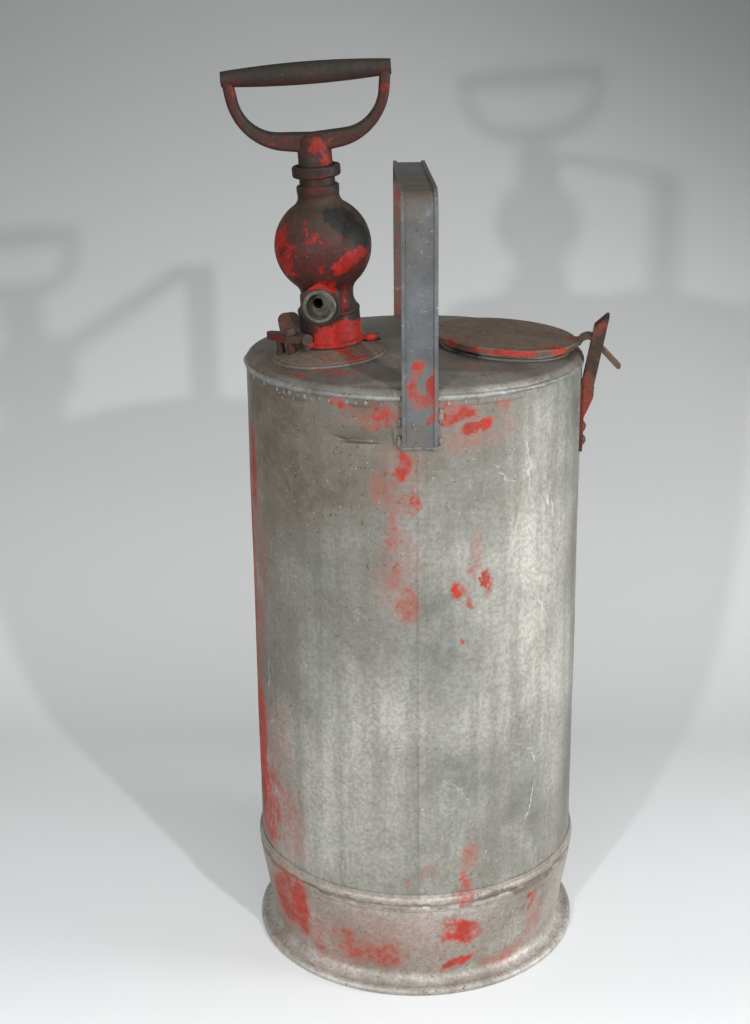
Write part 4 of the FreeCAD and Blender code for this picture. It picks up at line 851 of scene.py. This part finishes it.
LAMPS = (
    ("key_right", (1.25, -2.15, 1.45), (0.05, 0, -0.05), 0.045, 50, 140),
    ("fill_left", (-0.85, -2.3, 0.86), (-0.05, 0, -0.1), 0.045, 50, 120),
    ("side_left", (-1.7, -1.1, 0.3), (-0.1, 0, 0.12), 0.4, 34, 40),
    ("side_right", (1.9, -0.55, 0.55), (0.1, 0, 0.2), 0.35, 60, 110),
    ("overhead", (0.1, -0.9, 2.3), (0.05, -0.25, 0.0), 0.5, 80, 30),
)
SKY, SKY_SEEN = 0.34, 0.64
SWEEP_WIDTH, SWEEP_DEPTH, SWEEP_HEIGHT = 9.0, 4.0, 3.0
SWEEP_CURVE, SWEEP_STEPS, SWEEP_BACK = 0.22, 10, 0.32

# The photograph's camera: place, pitch, roll and yaw, and its focal length in pixels of its width.
CAMERA_PLACE = (0, -1.23462, 0.76829)
PITCH, ROLL, YAW = 0.3240308, -0.0109897, -0.0249991
FOCAL, PHOTO_WIDTH, SENSOR = 1662.63, 750, 36.0


class EXT_OT_stage(bpy.types.Operator):
    """Stage: floor and wall in one sweep, five lamps, the sky light and the camera"""

    bl_idname = "extinguisher.stage"
    bl_label = "Stage"

    def execute(self, context):
        scene = context.scene
        scene.view_settings.view_transform = "Standard"
        deselect()
        bpy.ops.mesh.primitive_plane_add(size=1, location=(0, SWEEP_BACK - SWEEP_DEPTH / 2, 0))
        sweep = start_piece("sweep")
        bpy.ops.transform.resize(value=(SWEEP_WIDTH, SWEEP_DEPTH, 1.0))
        pick("EDGE", lambda e: all(v.co.y > 0 for v in e.verts))
        length = SWEEP_CURVE * math.pi / 2 / SWEEP_STEPS
        for step in range(SWEEP_STEPS):
            turn = math.pi / 2 * (step + 0.5) / SWEEP_STEPS
            way = (0, length * math.cos(turn), length * math.sin(turn))
            bpy.ops.mesh.extrude_region_move(TRANSFORM_OT_translate={"value": way})
        bpy.ops.mesh.extrude_region_move(TRANSFORM_OT_translate={"value": (0, 0, SWEEP_HEIGHT)})
        bpy.ops.object.mode_set(mode="OBJECT")
        bpy.ops.object.transform_apply(location=True, rotation=True, scale=True)
        bpy.ops.object.shade_smooth()
        sweep.data.materials.append(self.paper(scene.extinguisher))
        for name, place_at, aim, size, cone, power in LAMPS:
            lamp = bpy.data.objects.new(name, bpy.data.lights.new(name, "SPOT"))
            lamp.data.energy = power
            lamp.data.shadow_soft_size = size
            lamp.data.spot_size = math.radians(cone)
            lamp.data.spot_blend = 1.0
            lamp.location = place_at
            lamp.rotation_euler = (Vector(aim) - Vector(place_at)).to_track_quat("-Z", "Y").to_euler()
            scene.collection.objects.link(lamp)
        world = bpy.data.worlds.new("sky")
        scene.world = world
        world.use_nodes = True
        world.node_tree.nodes.clear()
        seen = add_node(world.node_tree, "ShaderNodeLightPath").outputs["Is Camera Ray"]
        level = calc(world.node_tree, "MULTIPLY_ADD", seen, SKY_SEEN - SKY, SKY)
        sky = add_node(world.node_tree, "ShaderNodeBackground", {0: colour("#eceef0"), 1: level})
        add_node(world.node_tree, "ShaderNodeOutputWorld", {0: sky.outputs[0]})
        self.camera(scene)
        return {"FINISHED"}

    @staticmethod
    def paper(looks):
        """White paper, lighter on the floor than up the wall and darker towards the wall's top right,
        as painted light and shade; the floor in front and the foot of the wall glow to the camera
        as painted light.

        It is paper on its front only, so that views from behind look through it."""
        material, tree, place = new_material("paper_sweep")
        parts = add_node(tree, "ShaderNodeSeparateXYZ", {0: place}).outputs
        wall = tuple(looks.backdrop) + (1.0,)
        # painted shade: the wall darkens towards its top right, and the floor paper is painted lighter than the
        # wall as painted light
        painted_corner_shade = rise(tree, calc(tree, "ADD", parts[0], parts[2]), 0.55, 1.15, 0.0, 0.8)
        tone = blend(tree, painted_corner_shade, wall, "#6f726f")
        tone = blend(tree, rise(tree, parts[1], 0.0, 0.45, 1.0, 0.0), tone, "#cbcecf")
        bump = add_node(tree, "ShaderNodeBump", {
            "Strength": 0.3, "Distance": 0.01 * MM, "Height": cloud(tree, place, 3.0)})
        shader = add_node(tree, "ShaderNodeBsdfPrincipled", {
            "Base Color": tone, "Roughness": 0.8, "Specular IOR Level": 0.2, "Normal": bump.outputs[0]})
        seen = add_node(tree, "ShaderNodeLightPath").outputs["Is Camera Ray"]
        # painted light: the floor in front and the foot of the wall glow for camera rays only
        front = rise(tree, parts[1], -0.42, -0.05, 0.42, 0.0)
        glow = calc(tree, "ADD", rise(tree, parts[2], 0.0, 0.7, 0.2, 0.03), front)
        glow = calc(tree, "MULTIPLY", glow, seen)
        light = add_node(tree, "ShaderNodeEmission", {0: colour("#ffffff"), 1: glow})
        both = add_node(tree, "ShaderNodeAddShader", {0: shader.outputs[0], 1: light.outputs[0]})
        behind = add_node(tree, "ShaderNodeNewGeometry").outputs["Backfacing"]
        clear = add_node(tree, "ShaderNodeBsdfTransparent")
        sided = add_node(tree, "ShaderNodeMixShader", {0: behind, 1: both.outputs[0], 2: clear.outputs[0]})
        add_node(tree, "ShaderNodeOutputMaterial", {0: sided.outputs[0]})
        return material

    @staticmethod
    def camera(scene):
        """The camera stands where the photograph was taken from."""
        ahead = Vector((math.sin(YAW) * math.cos(PITCH), math.cos(YAW) * math.cos(PITCH), -math.sin(PITCH)))
        level = Vector((math.cos(YAW), -math.sin(YAW), 0))
        upward = level.cross(ahead)
        right = math.cos(ROLL) * level + math.sin(ROLL) * upward
        top = math.cos(ROLL) * upward - math.sin(ROLL) * level
        camera = bpy.data.objects.new("camera", bpy.data.cameras.new("camera"))
        camera.data.sensor_fit = "HORIZONTAL"
        camera.data.sensor_width = SENSOR
        camera.data.lens = FOCAL / PHOTO_WIDTH * SENSOR
        turned = Matrix((right, top, -ahead)).transposed().to_4x4()
        camera.matrix_world = Matrix.Translation(CAMERA_PLACE) @ turned
        scene.collection.objects.link(camera)
        scene.camera = camera


OPERATORS = (EXT_OT_stage, EXT_OT_tank_wall, EXT_OT_solder, EXT_OT_hose_outlet, EXT_OT_sheet_finishes,
             EXT_OT_casting_finishes, EXT_OT_inner_finishes)


class EXT_PT_panel(bpy.types.Panel):
    """Lists the extinguisher's pieces and their settings"""

    bl_label = "Extinguisher"
    bl_idname = "EXT_PT_panel"
    bl_space_type = "VIEW_3D"
    bl_region_type = "UI"
    bl_category = "Extinguisher"

    def draw(self, context):
        looks = context.scene.extinguisher
        for name in ("wall_wave", "dent_depth", "bead_size", "thread_pitch", "old_red", "backdrop"):
            self.layout.prop(looks, name)
        for operator in OPERATORS:
            self.layout.operator(operator.bl_idname)


CLASSES = (ExtinguisherLooks,) + OPERATORS + (EXT_PT_panel,)


def register():
    for item in CLASSES:
        bpy.utils.register_class(item)
    bpy.types.Scene.extinguisher = bpy.props.PointerProperty(type=ExtinguisherLooks)


def unregister():
    del bpy.types.Scene.extinguisher
    for item in reversed(CLASSES):
        bpy.utils.unregister_class(item)


def main():
    register()
    bpy.ops.extinguisher.stage()
    bpy.ops.extinguisher.tank_wall()
    bpy.ops.extinguisher.solder()
    bpy.ops.extinguisher.hose_outlet()
    bpy.ops.extinguisher.sheet_finishes()
    bpy.ops.extinguisher.casting_finishes()
    bpy.ops.extinguisher.inner_finishes()


if __name__ == "__main__":
    main()
